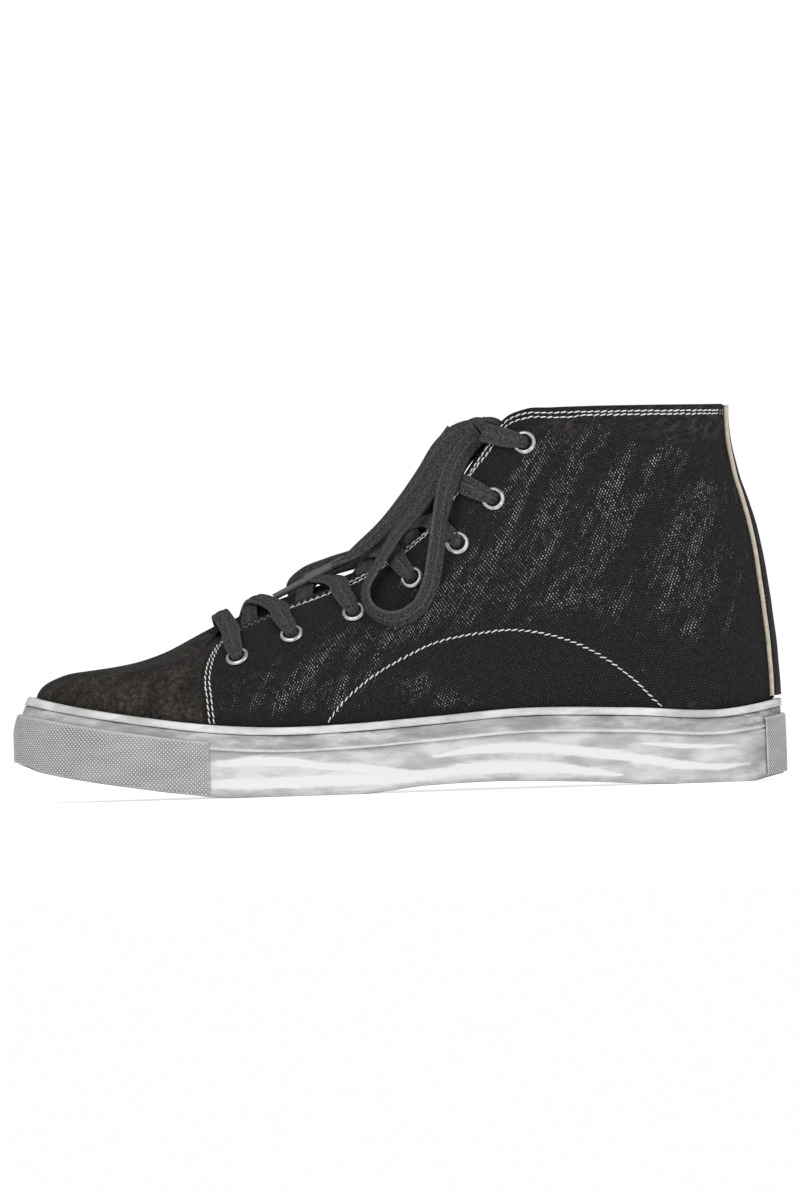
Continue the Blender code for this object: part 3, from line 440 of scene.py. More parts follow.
def new_piece(name: str, points: Points, faces: list, material: bpy.types.Material,
              cloth: Points | None = None, masks: dict[str, Points] | None = None) -> bpy.types.Object:
    """Smooth mesh piece that rides on the shoe.

    Args:
        name: Piece name.
        points: Vertices.
        faces: Corner numbers of each face.
        material: Finish.
        cloth: Place of each vertex along the cloth, in metres.
        masks: Named values of each vertex.

    Returns:
        The new object.
    """
    mesh = bpy.data.meshes.new(name)
    mesh.from_pydata(points.reshape(-1, 3).tolist(), [], faces)
    mesh.shade_smooth()
    if cloth is not None:
        layer = mesh.attributes.new("cloth", "FLOAT_VECTOR", "POINT")
        flat = np.zeros((len(mesh.vertices), 3))
        flat[:, : cloth.shape[-1]] = cloth.reshape(-1, cloth.shape[-1])
        layer.data.foreach_set("vector", flat.ravel())
    for label, values in (masks or {}).items():
        layer = mesh.attributes.new(label, "FLOAT", "POINT")
        layer.data.foreach_set("value", np.asarray(values, dtype=float).ravel())
    mesh.materials.append(material)
    piece = bpy.data.objects.new(name, mesh)
    bpy.context.scene.collection.objects.link(piece)
    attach(piece, ROOT)
    log.info("%s: %d faces", name, len(faces))
    return piece


def grid_faces(columns: int, rows: int, wrap_columns: bool = False, wrap_rows: bool = False,
               start: int = 0) -> list:
    """Quads over a grid of points numbered column by column.

    Args:
        columns: Number of columns.
        rows: Points in each column.
        wrap_columns: Whether the last column joins the first.
        wrap_rows: Whether the last row joins the first.
        start: Number of the grid's first point.

    Returns:
        Corner numbers of each quad.
    """
    i = np.arange(columns if wrap_columns else columns - 1)
    k = np.arange(rows if wrap_rows else rows - 1)
    i, k = np.meshgrid(i, k, indexing="ij")
    j, m = (i + 1) % columns, (k + 1) % rows
    quads = np.stack([i * rows + k, i * rows + m, j * rows + m, j * rows + k], axis=-1)
    return (quads.reshape(-1, 4) + start).tolist()


def tube_faces(rings: int, sides: int, start: int = 0) -> list:
    """Faces of a tube of rings, closed at both ends."""
    last = start + (rings - 1) * sides
    ends = [list(range(start, start + sides)), list(range(last, last + sides))[::-1]]
    return grid_faces(rings, sides, wrap_rows=True, start=start) + ends


def turned_down(face: Points, under: Points) -> Points:
    """Grid of points with its border turned down to the grid under it.

    Args:
        face: Grid of the outer surface.
        under: Grid of the same size under it.

    Returns:
        Grid with one more point on each side.
    """
    grid = np.concatenate([under[:1], face, under[-1:]])
    low = np.concatenate([under[:1, :1], under[:, :1], under[-1:, :1]])
    high = np.concatenate([under[:1, -1:], under[:, -1:], under[-1:, -1:]])
    return np.concatenate([low, grid, high], axis=1)


def unworn(points: Points) -> dict[str, Points]:
    """Masks of a grid of points without scuffs, wear or painted shade."""
    return {label: np.zeros(points.shape[:2]) for label in ("scuff", "worn")}


def arc_lengths(points: Points, axis: int) -> Points:
    """Length along one axis of a grid of points."""
    run = np.linalg.norm(np.diff(points, axis=axis), axis=-1)
    total = np.cumsum(run, axis=axis)
    pad = [(0, 0), (0, 0)]
    pad[axis] = (1, 0)
    return np.pad(total, pad)


def side_frames(route: Points, outward: Points) -> tuple[Points, Points]:
    """Side and up directions along a route.

    Args:
        route: Points of the centreline.
        outward: Rough up direction at each.

    Returns:
        Side directions and true up directions.
    """
    run = unit(np.gradient(route, axis=0))
    side = unit(np.cross(outward, run))
    return side, unit(np.cross(run, side))


def ribbon_section(count: int = 28) -> tuple[Points, Points]:
    """Outline of a flat woven tube: shares across its half width and half thickness."""
    turn = np.linspace(0, 2 * np.pi, count, endpoint=False) + np.pi / count
    across = np.sign(np.cos(turn)) * np.abs(np.cos(turn)) ** 0.8
    up = np.sign(np.sin(turn)) * np.abs(np.sin(turn)) ** 0.7
    fold = 1 - 0.34 * np.exp(-(((np.abs(across) - 0.52) / 0.13) ** 2)) - 0.1 * np.exp(-((across / 0.12) ** 2))
    return across, up * fold


def ribbon(name: str, route: Points, outward: Points, half_width: Points, half_depth: Points,
           material: bpy.types.Material) -> bpy.types.Object:
    """Flat woven lace along a route.

    Args:
        name: Piece name.
        route: Centreline points.
        outward: Direction that the flat face looks in.
        half_width: Half width at each point.
        half_depth: Half thickness at each point.
        material: Finish.

    Returns:
        The new object.
    """
    side, up = side_frames(route, outward)
    across, rise = ribbon_section()
    half_width = np.broadcast_to(half_width, len(route))[:, None, None]
    half_depth = np.broadcast_to(half_depth, len(route))[:, None, None]
    body = route[:, None] + side[:, None] * across[None, :, None] * half_width
    body = body + up[:, None] * rise[None, :, None] * half_depth
    cloth = np.zeros(body.shape)
    cloth[..., 0] = run_lengths(route)[:, None]
    cloth[..., 1] = across[None, :] * BRAID_HALF_WIDTH
    cloth[..., 2] = np.sign(rise)[None, :]
    return new_piece(name, body, tube_faces(len(route), len(across)), material, cloth)


def round_cord(name: str, route: Points, radius: Points, material: bpy.types.Material,
               sides: int = 14) -> bpy.types.Object:
    """Round cord along a route."""
    outward = np.broadcast_to(np.array([0.3, 0.5, 1.0]), route.shape)
    side, up = side_frames(route, outward)
    turn = np.linspace(0, 2 * np.pi, sides, endpoint=False)
    radius = np.broadcast_to(radius, len(route))[:, None, None]
    body = route[:, None] + radius * (
        side[:, None] * np.cos(turn)[None, :, None] + up[:, None] * np.sin(turn)[None, :, None]
    )
    cloth = np.zeros(body.shape)
    cloth[..., 0] = run_lengths(route)[:, None]
    cloth[..., 1] = turn[None, :] * 0.001
    return new_piece(name, body, tube_faces(len(route), sides), material, cloth)


# Shading


class Shading:
    """Node tree of a material or an effect, with short ways to add and join nodes."""

    def __init__(self, tree: bpy.types.NodeTree) -> None:
        """Keep the tree."""
        self.tree = tree

    def node(self, kind: str, settings: dict | None = None, **inputs: object) -> bpy.types.Node:
        """Add a node.

        Args:
            kind: Node type without its ShaderNode prefix.
            settings: Properties of the node.
            **inputs: Values or outputs for its named inputs, with _ for a space.

        Returns:
            The new node.
        """
        made = self.tree.nodes.new(f"ShaderNode{kind}")
        for key, value in (settings or {}).items():
            setattr(made, key, value)
        for key, value in inputs.items():
            self.feed(made.inputs[key.replace("_", " ")], value)
        return made

    def feed(self, socket: bpy.types.NodeSocket, value: object) -> None:
        """Join an output to an input, or set the input's value."""
        if isinstance(value, bpy.types.NodeSocket):
            self.tree.links.new(value, socket)
        elif isinstance(value, tuple) and len(value) == 3 and socket.type == "RGBA":
            socket.default_value = (*value, 1)
        else:
            socket.default_value = value

    def math(self, operation: str, *values: object, clamp: bool = False) -> bpy.types.NodeSocket:
        """Result of a Math node."""
        made = self.node("Math", {"operation": operation, "use_clamp": clamp})
        for socket, value in zip(made.inputs, values):
            self.feed(socket, value)
        return made.outputs[0]

    def span(self, value: object, low: float, high: float, start: float = 0.0, end: float = 1.0
             ) -> bpy.types.NodeSocket:
        """Value mapped smoothly from one range to another."""
        made = self.node("MapRange", {"interpolation_type": "SMOOTHSTEP"})
        for socket, number in zip(made.inputs, (value, low, high, start, end)):
            self.feed(socket, number)
        return made.outputs[0]

    def mix(self, share: object, first: object, second: object) -> bpy.types.NodeSocket:
        """Colour between two by a share."""
        made = self.node("Mix", {"data_type": "RGBA"})
        self.feed(made.inputs[0], share)
        self.feed(made.inputs[6], first)
        self.feed(made.inputs[7], second)
        return made.outputs[2]

    def noise(self, vector: object, scale: float, detail: float = 3.0, rough: float = 0.55
              ) -> bpy.types.NodeSocket:
        """Value of a noise texture."""
        made = self.node("TexNoise", Vector=vector, Scale=scale, Detail=detail, Roughness=rough)
        return made.outputs["Fac"]

    def stretched(self, vector: object, size: tuple, turn: float = 0.0) -> bpy.types.NodeSocket:
        """Vector measured in units of a size, along directions turned by degrees."""
        made = self.node("Mapping", {"vector_type": "TEXTURE"}, Vector=vector)
        made.inputs["Rotation"].default_value = (0, 0, math.radians(turn))
        made.inputs["Scale"].default_value = (*size, 1)
        return made.outputs[0]

    def attribute(self, name: str, output: str = "Fac") -> bpy.types.NodeSocket:
        """Output of a mesh attribute."""
        return self.node("Attribute", {"attribute_name": name}).outputs[output]


def effect(name: str, inputs: dict[str, tuple[str, object]], outputs: dict[str, str],
           fill: Callable) -> bpy.types.NodeTree:
    """Node group with named inputs and outputs, built once.

    Args:
        name: Group name.
        inputs: Socket kind and first value by name.
        outputs: Socket kind by name.
        fill: Function that takes the shading and the inputs, and returns outputs by name.

    Returns:
        The group.
    """
    if name in bpy.data.node_groups:
        return bpy.data.node_groups[name]
    tree = bpy.data.node_groups.new(name, "ShaderNodeTree")
    for label, (kind, value) in inputs.items():
        socket = tree.interface.new_socket(label, in_out="INPUT", socket_type=f"NodeSocket{kind}")
        if value is not None:
            socket.default_value = value
    for label, kind in outputs.items():
        tree.interface.new_socket(label, in_out="OUTPUT", socket_type=f"NodeSocket{kind}")
    shading = Shading(tree)
    entry = tree.nodes.new("NodeGroupInput")
    leave = tree.nodes.new("NodeGroupOutput")
    for label, socket in fill(shading, entry.outputs).items():
        tree.links.new(socket, leave.inputs[label])
    return tree


def fill_weave(s: Shading, given: object) -> dict:
    """Coarse weave: raised crowns of the yarns, each with its own brightness."""
    wobble = s.noise(given["Vector"], 170.0, 2.0)
    turned = s.stretched(given["Vector"], (1, 1), 11)
    parts = s.node("SeparateXYZ", Vector=turned)
    turns, cells = [], []
    for axis, part in ((0, 0.62), (1, 1.0)):
        size = s.math("MULTIPLY", given["Pitch"], part)
        drift = s.math("MULTIPLY", s.math("SUBTRACT", wobble, 0.5), 1.2 - 2.0 * axis)
        cell = s.math("ADD", s.math("DIVIDE", parts.outputs[axis], size), drift)
        cells.append(s.math("FLOOR", cell))
        turns.append(s.math("SINE", s.math("MULTIPLY", cell, math.pi)))
    product = s.math("MULTIPLY", *turns)
    place = s.node("CombineXYZ", X=cells[0], Y=cells[1])
    lot = s.node("TexWhiteNoise", {"noise_dimensions": "2D"}, Vector=place.outputs[0])
    return {
        "Height": s.math("POWER", s.math("ABSOLUTE", product), 0.7),
        "Crown": s.math("MULTIPLY", s.span(product, 0.22, 0.8), s.span(lot.outputs["Value"], -0.1, 1.0)),
    }


def weave_group() -> bpy.types.NodeTree:
    """Coarse weave effect."""
    return effect(
        "Coarse weave", {"Vector": ("Vector", None), "Pitch": ("Float", 0.00095)},
        {"Height": "Float", "Crown": "Float"}, fill_weave,
    )


def fill_wear(s: Shading, given: object) -> dict:
    """Slanting streaks and patches where the cloth has rubbed pale."""
    broad = s.noise(s.stretched(given["Vector"], (0.034, 0.0065), 62), 1.0, 2.0, 0.6)
    fine = s.noise(s.stretched(given["Vector"], (0.008, 0.0030), 62), 1.0, 3.0, 0.7)
    total = s.math("ADD", s.math("MULTIPLY", broad, 0.6), s.math("MULTIPLY", fine, 0.4))
    level = s.math("ADD", s.math("SUBTRACT", total, 1.0), given["Amount"])
    return {"Mask": s.span(level, -0.06, 0.18)}


def wear_group() -> bpy.types.NodeTree:
    """Rubbed cloth effect."""
    return effect(
        "Rubbed streaks", {"Vector": ("Vector", None), "Amount": ("Float", 0.5)},
        {"Mask": "Float"}, fill_wear,
    )


def fill_mottle(s: Shading, given: object) -> dict:
    """Cloudy colour change with a fine grain over it."""
    scaled = s.node("VectorMath", {"operation": "SCALE"}, Vector=given["Vector"])
    s.feed(scaled.inputs["Scale"], given["Scale"])
    cloud = s.noise(scaled.outputs[0], 1.0, 5.0, 0.62)
    grain = s.noise(scaled.outputs[0], 16.0, 2.0, 0.6)
    return {"Cloud": s.span(cloud, 0.32, 0.68), "Grain": grain}


def mottle_group() -> bpy.types.NodeTree:
    """Cloudy colour and grain effect."""
    return effect(
        "Mottle and grain", {"Vector": ("Vector", None), "Scale": ("Float", 90.0)},
        {"Cloud": "Float", "Grain": "Float"}, fill_mottle,
    )


@dataclass(frozen=True)
class Finish:
    """Base of every finish: a named material with one Principled shader."""

    name: str
    colour: Colour
    roughness: float = 0.8
    sheen: float = 0.0
    shine: float = 0.12

    def start(self) -> tuple[bpy.types.Material, Shading, bpy.types.Node]:
        """New material, its shading and its shader."""
        material = bpy.data.materials.new(self.name)
        material.use_nodes = True
        shader = material.node_tree.nodes["Principled BSDF"]
        shader.inputs["Roughness"].default_value = self.roughness
        shader.inputs["Sheen Weight"].default_value = self.sheen
        shader.inputs["Specular IOR Level"].default_value = self.shine
        shader.inputs["Base Color"].default_value = (*self.colour, 1)
        return material, Shading(material.node_tree), shader

    def place(self, s: Shading) -> bpy.types.NodeSocket:
        """Object coordinates."""
        return s.node("TexCoord").outputs["Object"]

    def group(self, s: Shading, tree: bpy.types.NodeTree, **inputs: object) -> bpy.types.Node:
        """Placed effect with its inputs."""
        made = s.node("Group", {"node_tree": tree})
        for key, value in inputs.items():
            s.feed(made.inputs[key], value)
        return made

    def bump(self, s: Shading, shader: bpy.types.Node, height: object, depth: float,
             strength: float = 1.0) -> None:
        """Bump from a height between 0 and 1."""
        made = s.node("Bump", Height=height, Distance=depth, Strength=strength)
        s.feed(shader.inputs["Normal"], made.outputs[0])

    def material(self) -> bpy.types.Material:
        """Plain finish with a little grain."""
        made, s, shader = self.start()
        grain = self.group(s, mottle_group(), Vector=self.place(s), Scale=400.0)
        dark = tuple(0.8 * c for c in self.colour)
        s.feed(shader.inputs["Base Color"], s.mix(grain.outputs["Cloud"], dark, self.colour))
        self.bump(s, shader, grain.outputs["Grain"], 0.0002, 0.6)
        return made


@dataclass(frozen=True)
class CanvasFinish(Finish):
    """Coarse washed canvas: dark yarn with pale rubbed crowns."""

    pale: Colour = (0.46, 0.46, 0.47)
    pitch: float = 0.00104
    wear: float = 0.36
    scuff: Colour = (0.075, 0.062, 0.054)

    def material(self) -> bpy.types.Material:
        """Canvas from the weave with painted shade between its yarns, rubbed streaks less painted shade along
        the throat, and scuffs by place.
        """
        made, s, shader = self.start()
        cloth = s.attribute("cloth", "Vector")
        weave = self.group(s, weave_group(), Vector=cloth, Pitch=self.pitch)
        # Rubbed wear by place, less painted shade along the throat edge.
        amount = s.math("ADD", s.math("MULTIPLY", s.attribute("worn"), 0.20), self.wear)
        wear = self.group(s, wear_group(), Vector=cloth, Amount=amount)
        rubbed = s.math("ADD", s.math("MULTIPLY", wear.outputs["Mask"], 0.88), 0.07)
        crown = s.math("MULTIPLY", weave.outputs["Crown"], rubbed)
        # Half the colour between the yarns: painted shade in the weave's hollows.
        yarn = s.mix(weave.outputs["Height"], tuple(0.5 * c for c in self.colour), self.colour)
        tone = s.mix(crown, yarn, self.pale)
        smear = s.span(s.noise(s.stretched(cloth, (0.006, 0.003), 20), 1.0, 5.0, 0.65), 0.42, 0.72)
        scuffed = s.math("MULTIPLY", s.attribute("scuff"), smear)
        tone = s.mix(s.math("MULTIPLY", scuffed, 0.85, clamp=True), tone, self.scuff)
        s.feed(shader.inputs["Base Color"], tone)
        self.bump(s, shader, weave.outputs["Height"], 0.00025, 0.9)
        return made


@dataclass(frozen=True)
class SuedeFinish(Finish):
    """Brushed suede: cloudy nap with short fibres."""

    pale: Colour = (0.140, 0.127, 0.112)

    def material(self) -> bpy.types.Material:
        """Suede from mottling and fine fibres."""
        made, s, shader = self.start()
        place = self.place(s)
        broad = self.group(s, mottle_group(), Vector=place, Scale=130.0)
        fine = self.group(s, mottle_group(), Vector=place, Scale=620.0)
        fibre = s.span(s.noise(place, 1500.0, 3.0, 0.7), 0.46, 0.74)
        nap = s.math("MULTIPLY", fine.outputs["Cloud"], s.math("ADD", s.math("MULTIPLY", fibre, 0.8), 0.2))
        share = s.math("MULTIPLY", nap, s.math("ADD", s.math("MULTIPLY", broad.outputs["Cloud"], 0.62), 0.38))
        share = s.math("ADD", share, s.math("MULTIPLY", broad.outputs["Cloud"], 0.05))
        s.feed(shader.inputs["Base Color"], s.mix(share, self.colour, self.pale))
        self.bump(s, shader, nap, 0.0003, 0.7)
        return made


@dataclass(frozen=True)
class RubberFinish(Finish):
    """Moulded rubber with wiped paint and painted highlights, grime and painted shade by place."""

    paint: Colour = (0.66, 0.68, 0.67)
    grime: Colour = (0.15, 0.15, 0.152)
    dots: float = 0.0

    def material(self) -> bpy.types.Material:
        """Rubber from blotches, paint streaks and painted highlights, grime and painted shade, and pressed
        dots.
        """
        made, s, shader = self.start()
        cloth = s.attribute("cloth", "Vector")
        cloud = s.noise(s.stretched(cloth, (0.022, 0.007)), 1.0, 5.0, 0.6)
        grain = s.noise(cloth, 900.0, 2.0)
        tone = s.mix(s.span(cloud, 0.34, 0.66), tuple(0.60 * c for c in self.colour), self.colour)
        brush = s.noise(s.stretched(cloth, (0.012, 0.0011)), 1.0, 4.0, 0.72)
        dab = s.noise(s.stretched(cloth, (0.0016, 0.0012)), 1.0, 3.0, 0.7)
        rough = s.math("ADD", s.math("MULTIPLY", brush, 0.65), s.math("MULTIPLY", dab, 0.35))
        edge = s.math("ADD", s.attribute("paint"), s.math("MULTIPLY", s.math("SUBTRACT", rough, 0.5), 1.1))
        tone = s.mix(s.span(edge, 0.30, 0.66), tone, self.paint)
        smear = s.noise(s.stretched(cloth, (0.016, 0.004)), 1.0, 4.0, 0.7)
        # Darkened by a mask by place that holds both grime and painted shade.
        dirt_and_shade = s.math("MULTIPLY", s.attribute("grime"), s.span(smear, 0.30, 0.66))
        tone = s.mix(s.math("MULTIPLY", dirt_and_shade, 0.8, clamp=True), tone, self.grime)
        height = grain
        depth = 0.00006
        if self.dots:
            parts = s.node("SeparateXYZ", Vector=cloth)
            turns = []
            for axis in (0, 1):
                cell = s.math("DIVIDE", parts.outputs[axis], self.dots)
                turns.append(s.math("SINE", s.math("MULTIPLY", cell, math.pi)))
            bead = s.span(s.math("MULTIPLY", *turns), -0.15, 0.7)
            # Hollows between the dots darkened towards the grime colour: painted shade; the dots paled
            # towards the paint colour: painted highlight.
            low = s.mix(0.62, tone, self.grime)
            dotted = s.mix(bead, low, s.mix(0.95, tone, self.paint))
            tone = s.mix(s.attribute("border"), dotted, s.mix(0.4, tone, self.paint))
            height = s.math("MULTIPLY", bead, s.math("SUBTRACT", 1.0, s.attribute("border")))
            depth = 0.0004
        s.feed(shader.inputs["Base Color"], tone)
        self.bump(s, shader, height, depth, 0.9)
        return made


@dataclass(frozen=True)
class BraidFinish(Finish):
    """Braided lace: slanting yarns that meet in the middle."""

    pale: Colour = (0.215, 0.215, 0.225)
    pitch: float = 0.00095

    def material(self) -> bpy.types.Material:
        """Braid from chevrons along the lace, broken up by fuzz, with painted shade between the yarns, and
        its woven edges.
        """
        made, s, shader = self.start()
        cloth = s.attribute("cloth", "Vector")
        parts = s.node("SeparateXYZ", Vector=cloth)
        side = s.math("ABSOLUTE", parts.outputs[1])
        along = s.math("DIVIDE", s.math("ADD", parts.outputs[0], side), self.pitch)
        across = s.math("DIVIDE", parts.outputs[1], 0.8 * self.pitch)
        first = s.math("SINE", s.math("MULTIPLY", along, math.pi))
        second = s.math("SINE", s.math("MULTIPLY", across, math.pi))
        height = s.math("ABSOLUTE", s.math("MULTIPLY", first, second))
        fuzz = s.span(s.noise(s.stretched(cloth, (0.0011, 0.0007)), 1.0, 2.0, 0.7), 0.34, 0.68)
        ridge = s.math("ADD", s.span(side, 0.0030, 0.0040), s.span(side, 0.0006, 0.0))
        # Pale at the yarns' crowns, dark between them: painted shade between the yarns.
        share = s.math("MULTIPLY", height, fuzz)
        share = s.math("ADD", s.math("MULTIPLY", share, 0.8), s.math("MULTIPLY", ridge, 0.14), clamp=True)
        s.feed(shader.inputs["Base Color"], s.mix(share, self.colour, self.pale))
        self.bump(s, shader, height, 0.00035, 0.9)
        return made


@dataclass(frozen=True)
class MetalFinish(Finish):
    """Antique nickel: satin metal, darker in the recess."""

    def material(self) -> bpy.types.Material:
        """Antique nickel: satin metal with cloudy darker patches."""
        made, s, shader = self.start()
        shader.inputs["Metallic"].default_value = 1.0
        grain = self.group(s, mottle_group(), Vector=self.place(s), Scale=500.0)
        dark = tuple(0.55 * c for c in self.colour)
        s.feed(shader.inputs["Base Color"], s.mix(grain.outputs["Cloud"], dark, self.colour))
        s.feed(shader.inputs["Roughness"], s.span(grain.outputs["Grain"], 0.2, 0.8, 0.25, 0.5))
        return made


CANVAS = CanvasFinish("Washed canvas", (0.0165, 0.0165, 0.017), 0.9)
TONGUE_CANVAS = CanvasFinish("Tongue canvas", (0.015, 0.015, 0.016), 0.9, wear=0.25)
STAY_CANVAS = CanvasFinish("Stay canvas", (0.030, 0.030, 0.030), 0.9, wear=0.45)
SUEDE = SuedeFinish("Suede", (0.0100, 0.0086, 0.0076), 0.95)
LINING = Finish("Lining cloth", (0.018, 0.018, 0.019), 0.9)
SOLE_RUBBER = RubberFinish("Sole rubber", (0.58, 0.59, 0.59), 0.6, shine=0.3)
STRIP_RUBBER = RubberFinish("Strip rubber", (0.70, 0.70, 0.69), 0.55, shine=0.3)
BUMPER_RUBBER = RubberFinish("Bumper rubber", (0.50, 0.51, 0.51), 0.6, shine=0.3, dots=0.00083)
THREAD = Finish("White thread", (0.82, 0.82, 0.80), 0.7)
PIPING = Finish("Cream piping", (0.58, 0.52, 0.42), 0.8)
LACE = BraidFinish("Braided lace", (0.023, 0.023, 0.025), 0.85)
AGLET = Finish("Lace tip film", (0.09, 0.09, 0.095), 0.3, shine=0.4)
NICKEL = MetalFinish("Antique nickel", (0.60, 0.585, 0.56), 0.35)
INSOLE = Finish("Insole cloth", (0.03, 0.03, 0.031), 0.9)


# Sole


@dataclass(frozen=True)
class Stroke:
    """Streak seen from the side: rows of x, z and half width in millimetres."""

    rows: tuple[tuple[float, float, float], ...]

    def mask(self, points: Points) -> Points:
        """How far points lie inside the streak, 1 at its middle and 0.5 at its edge."""
        flat = points[..., [0, 2]] * 1000
        best = np.zeros(flat.shape[:-1])
        for start, end in zip(self.rows, self.rows[1:]):
            origin = np.array(start[:2])
            run = np.array(end[:2]) - origin
            share = np.clip(((flat - origin) @ run) / (run @ run), 0, 1)
            away = np.abs(flat - origin - share[..., None] * run)
            distance = np.hypot(away[..., 0] * 0.3, away[..., 1])
            half = start[2] + (end[2] - start[2]) * share
            best = np.maximum(best, np.clip(1 - 0.5 * distance / np.maximum(half, 0.05), 0, 1))
        return best


# Pale paint on the side of the sole
STROKES = (
    Stroke(((-68, 13.6, 1.3), (-56.3, 14.2, 1.9), (-43, 13.4, 1.6), (-30.5, 11.4, 1.2),
            (-18, 10.2, 1.6), (0, 8.0, 1.2))),
    Stroke(((-70.5, 5.6, 1.6), (-60, 5.4, 2.2), (-49.4, 5.4, 2.1), (-20.7, 5.8, 2.6),
            (-3.4, 6.4, 2.6), (8, 7.2, 1.3))),
    Stroke(((14.1, 13.8, 0.6), (25.6, 15.3, 1.2), (37.1, 16.0, 1.8), (51.5, 15.9, 1.9), (65.8, 14.4, 1.9),
            (80.1, 12.5, 1.7), (94.4, 9.9, 1.7), (108.7, 7.2, 1.5), (123, 6.0, 1.2), (134, 6.8, 0.5))),
    Stroke(((-9.2, 5.0, 1.6), (2.3, 5.6, 1.9), (13.9, 7.0, 1.9), (25.4, 8.4, 2.3), (44.1, 8.8, 2.5),
            (59.8, 7.8, 2.0), (72.7, 6.0, 1.5), (84.1, 4.2, 0.6))),
    Stroke(((94, 16.0, 0.3), (108.9, 14.6, 0.9), (120, 14.0, 0.7), (129, 14.2, 0.2))),
)
# Rubbed places of the quarters
RUBS = (
    Stroke(((71.8, 134.0, 5), (64.0, 108.0, 5), (56.1, 79.7, 6))),
    Stroke(((61.1, 133.5, 4), (48.0, 108.0, 5), (35.8, 85.3, 6))),
    Stroke(((100.1, 125.7, 5), (85.0, 114.8, 8))),
    Stroke(((86.6, 111.4, 7), (72.6, 84.1, 6))),
    Stroke(((117.4, 103.9, 4), (105.9, 78.9, 6))),
    Stroke(((21.8, 79.2, 5), (46.0, 74.0, 7), (70.6, 72.7, 7))),
    Stroke(((121.0, 113.6, 3), (111.8, 58.3, 4))),
    Stroke(((-54.5, 47.2, 3), (-67.2, 43.1, 4))),
    Stroke(((-23.8, 60.4, 5), (-46.0, 37.1, 6))),
    Stroke(((22.9, 70.5, 6), (-11.4, 57.4, 6))),
    Stroke(((-26.1, 43.6, 5), (-28.2, 34.7, 5))),
    Stroke(((9.5, 42.4, 4), (16.4, 35.0, 4))),
)


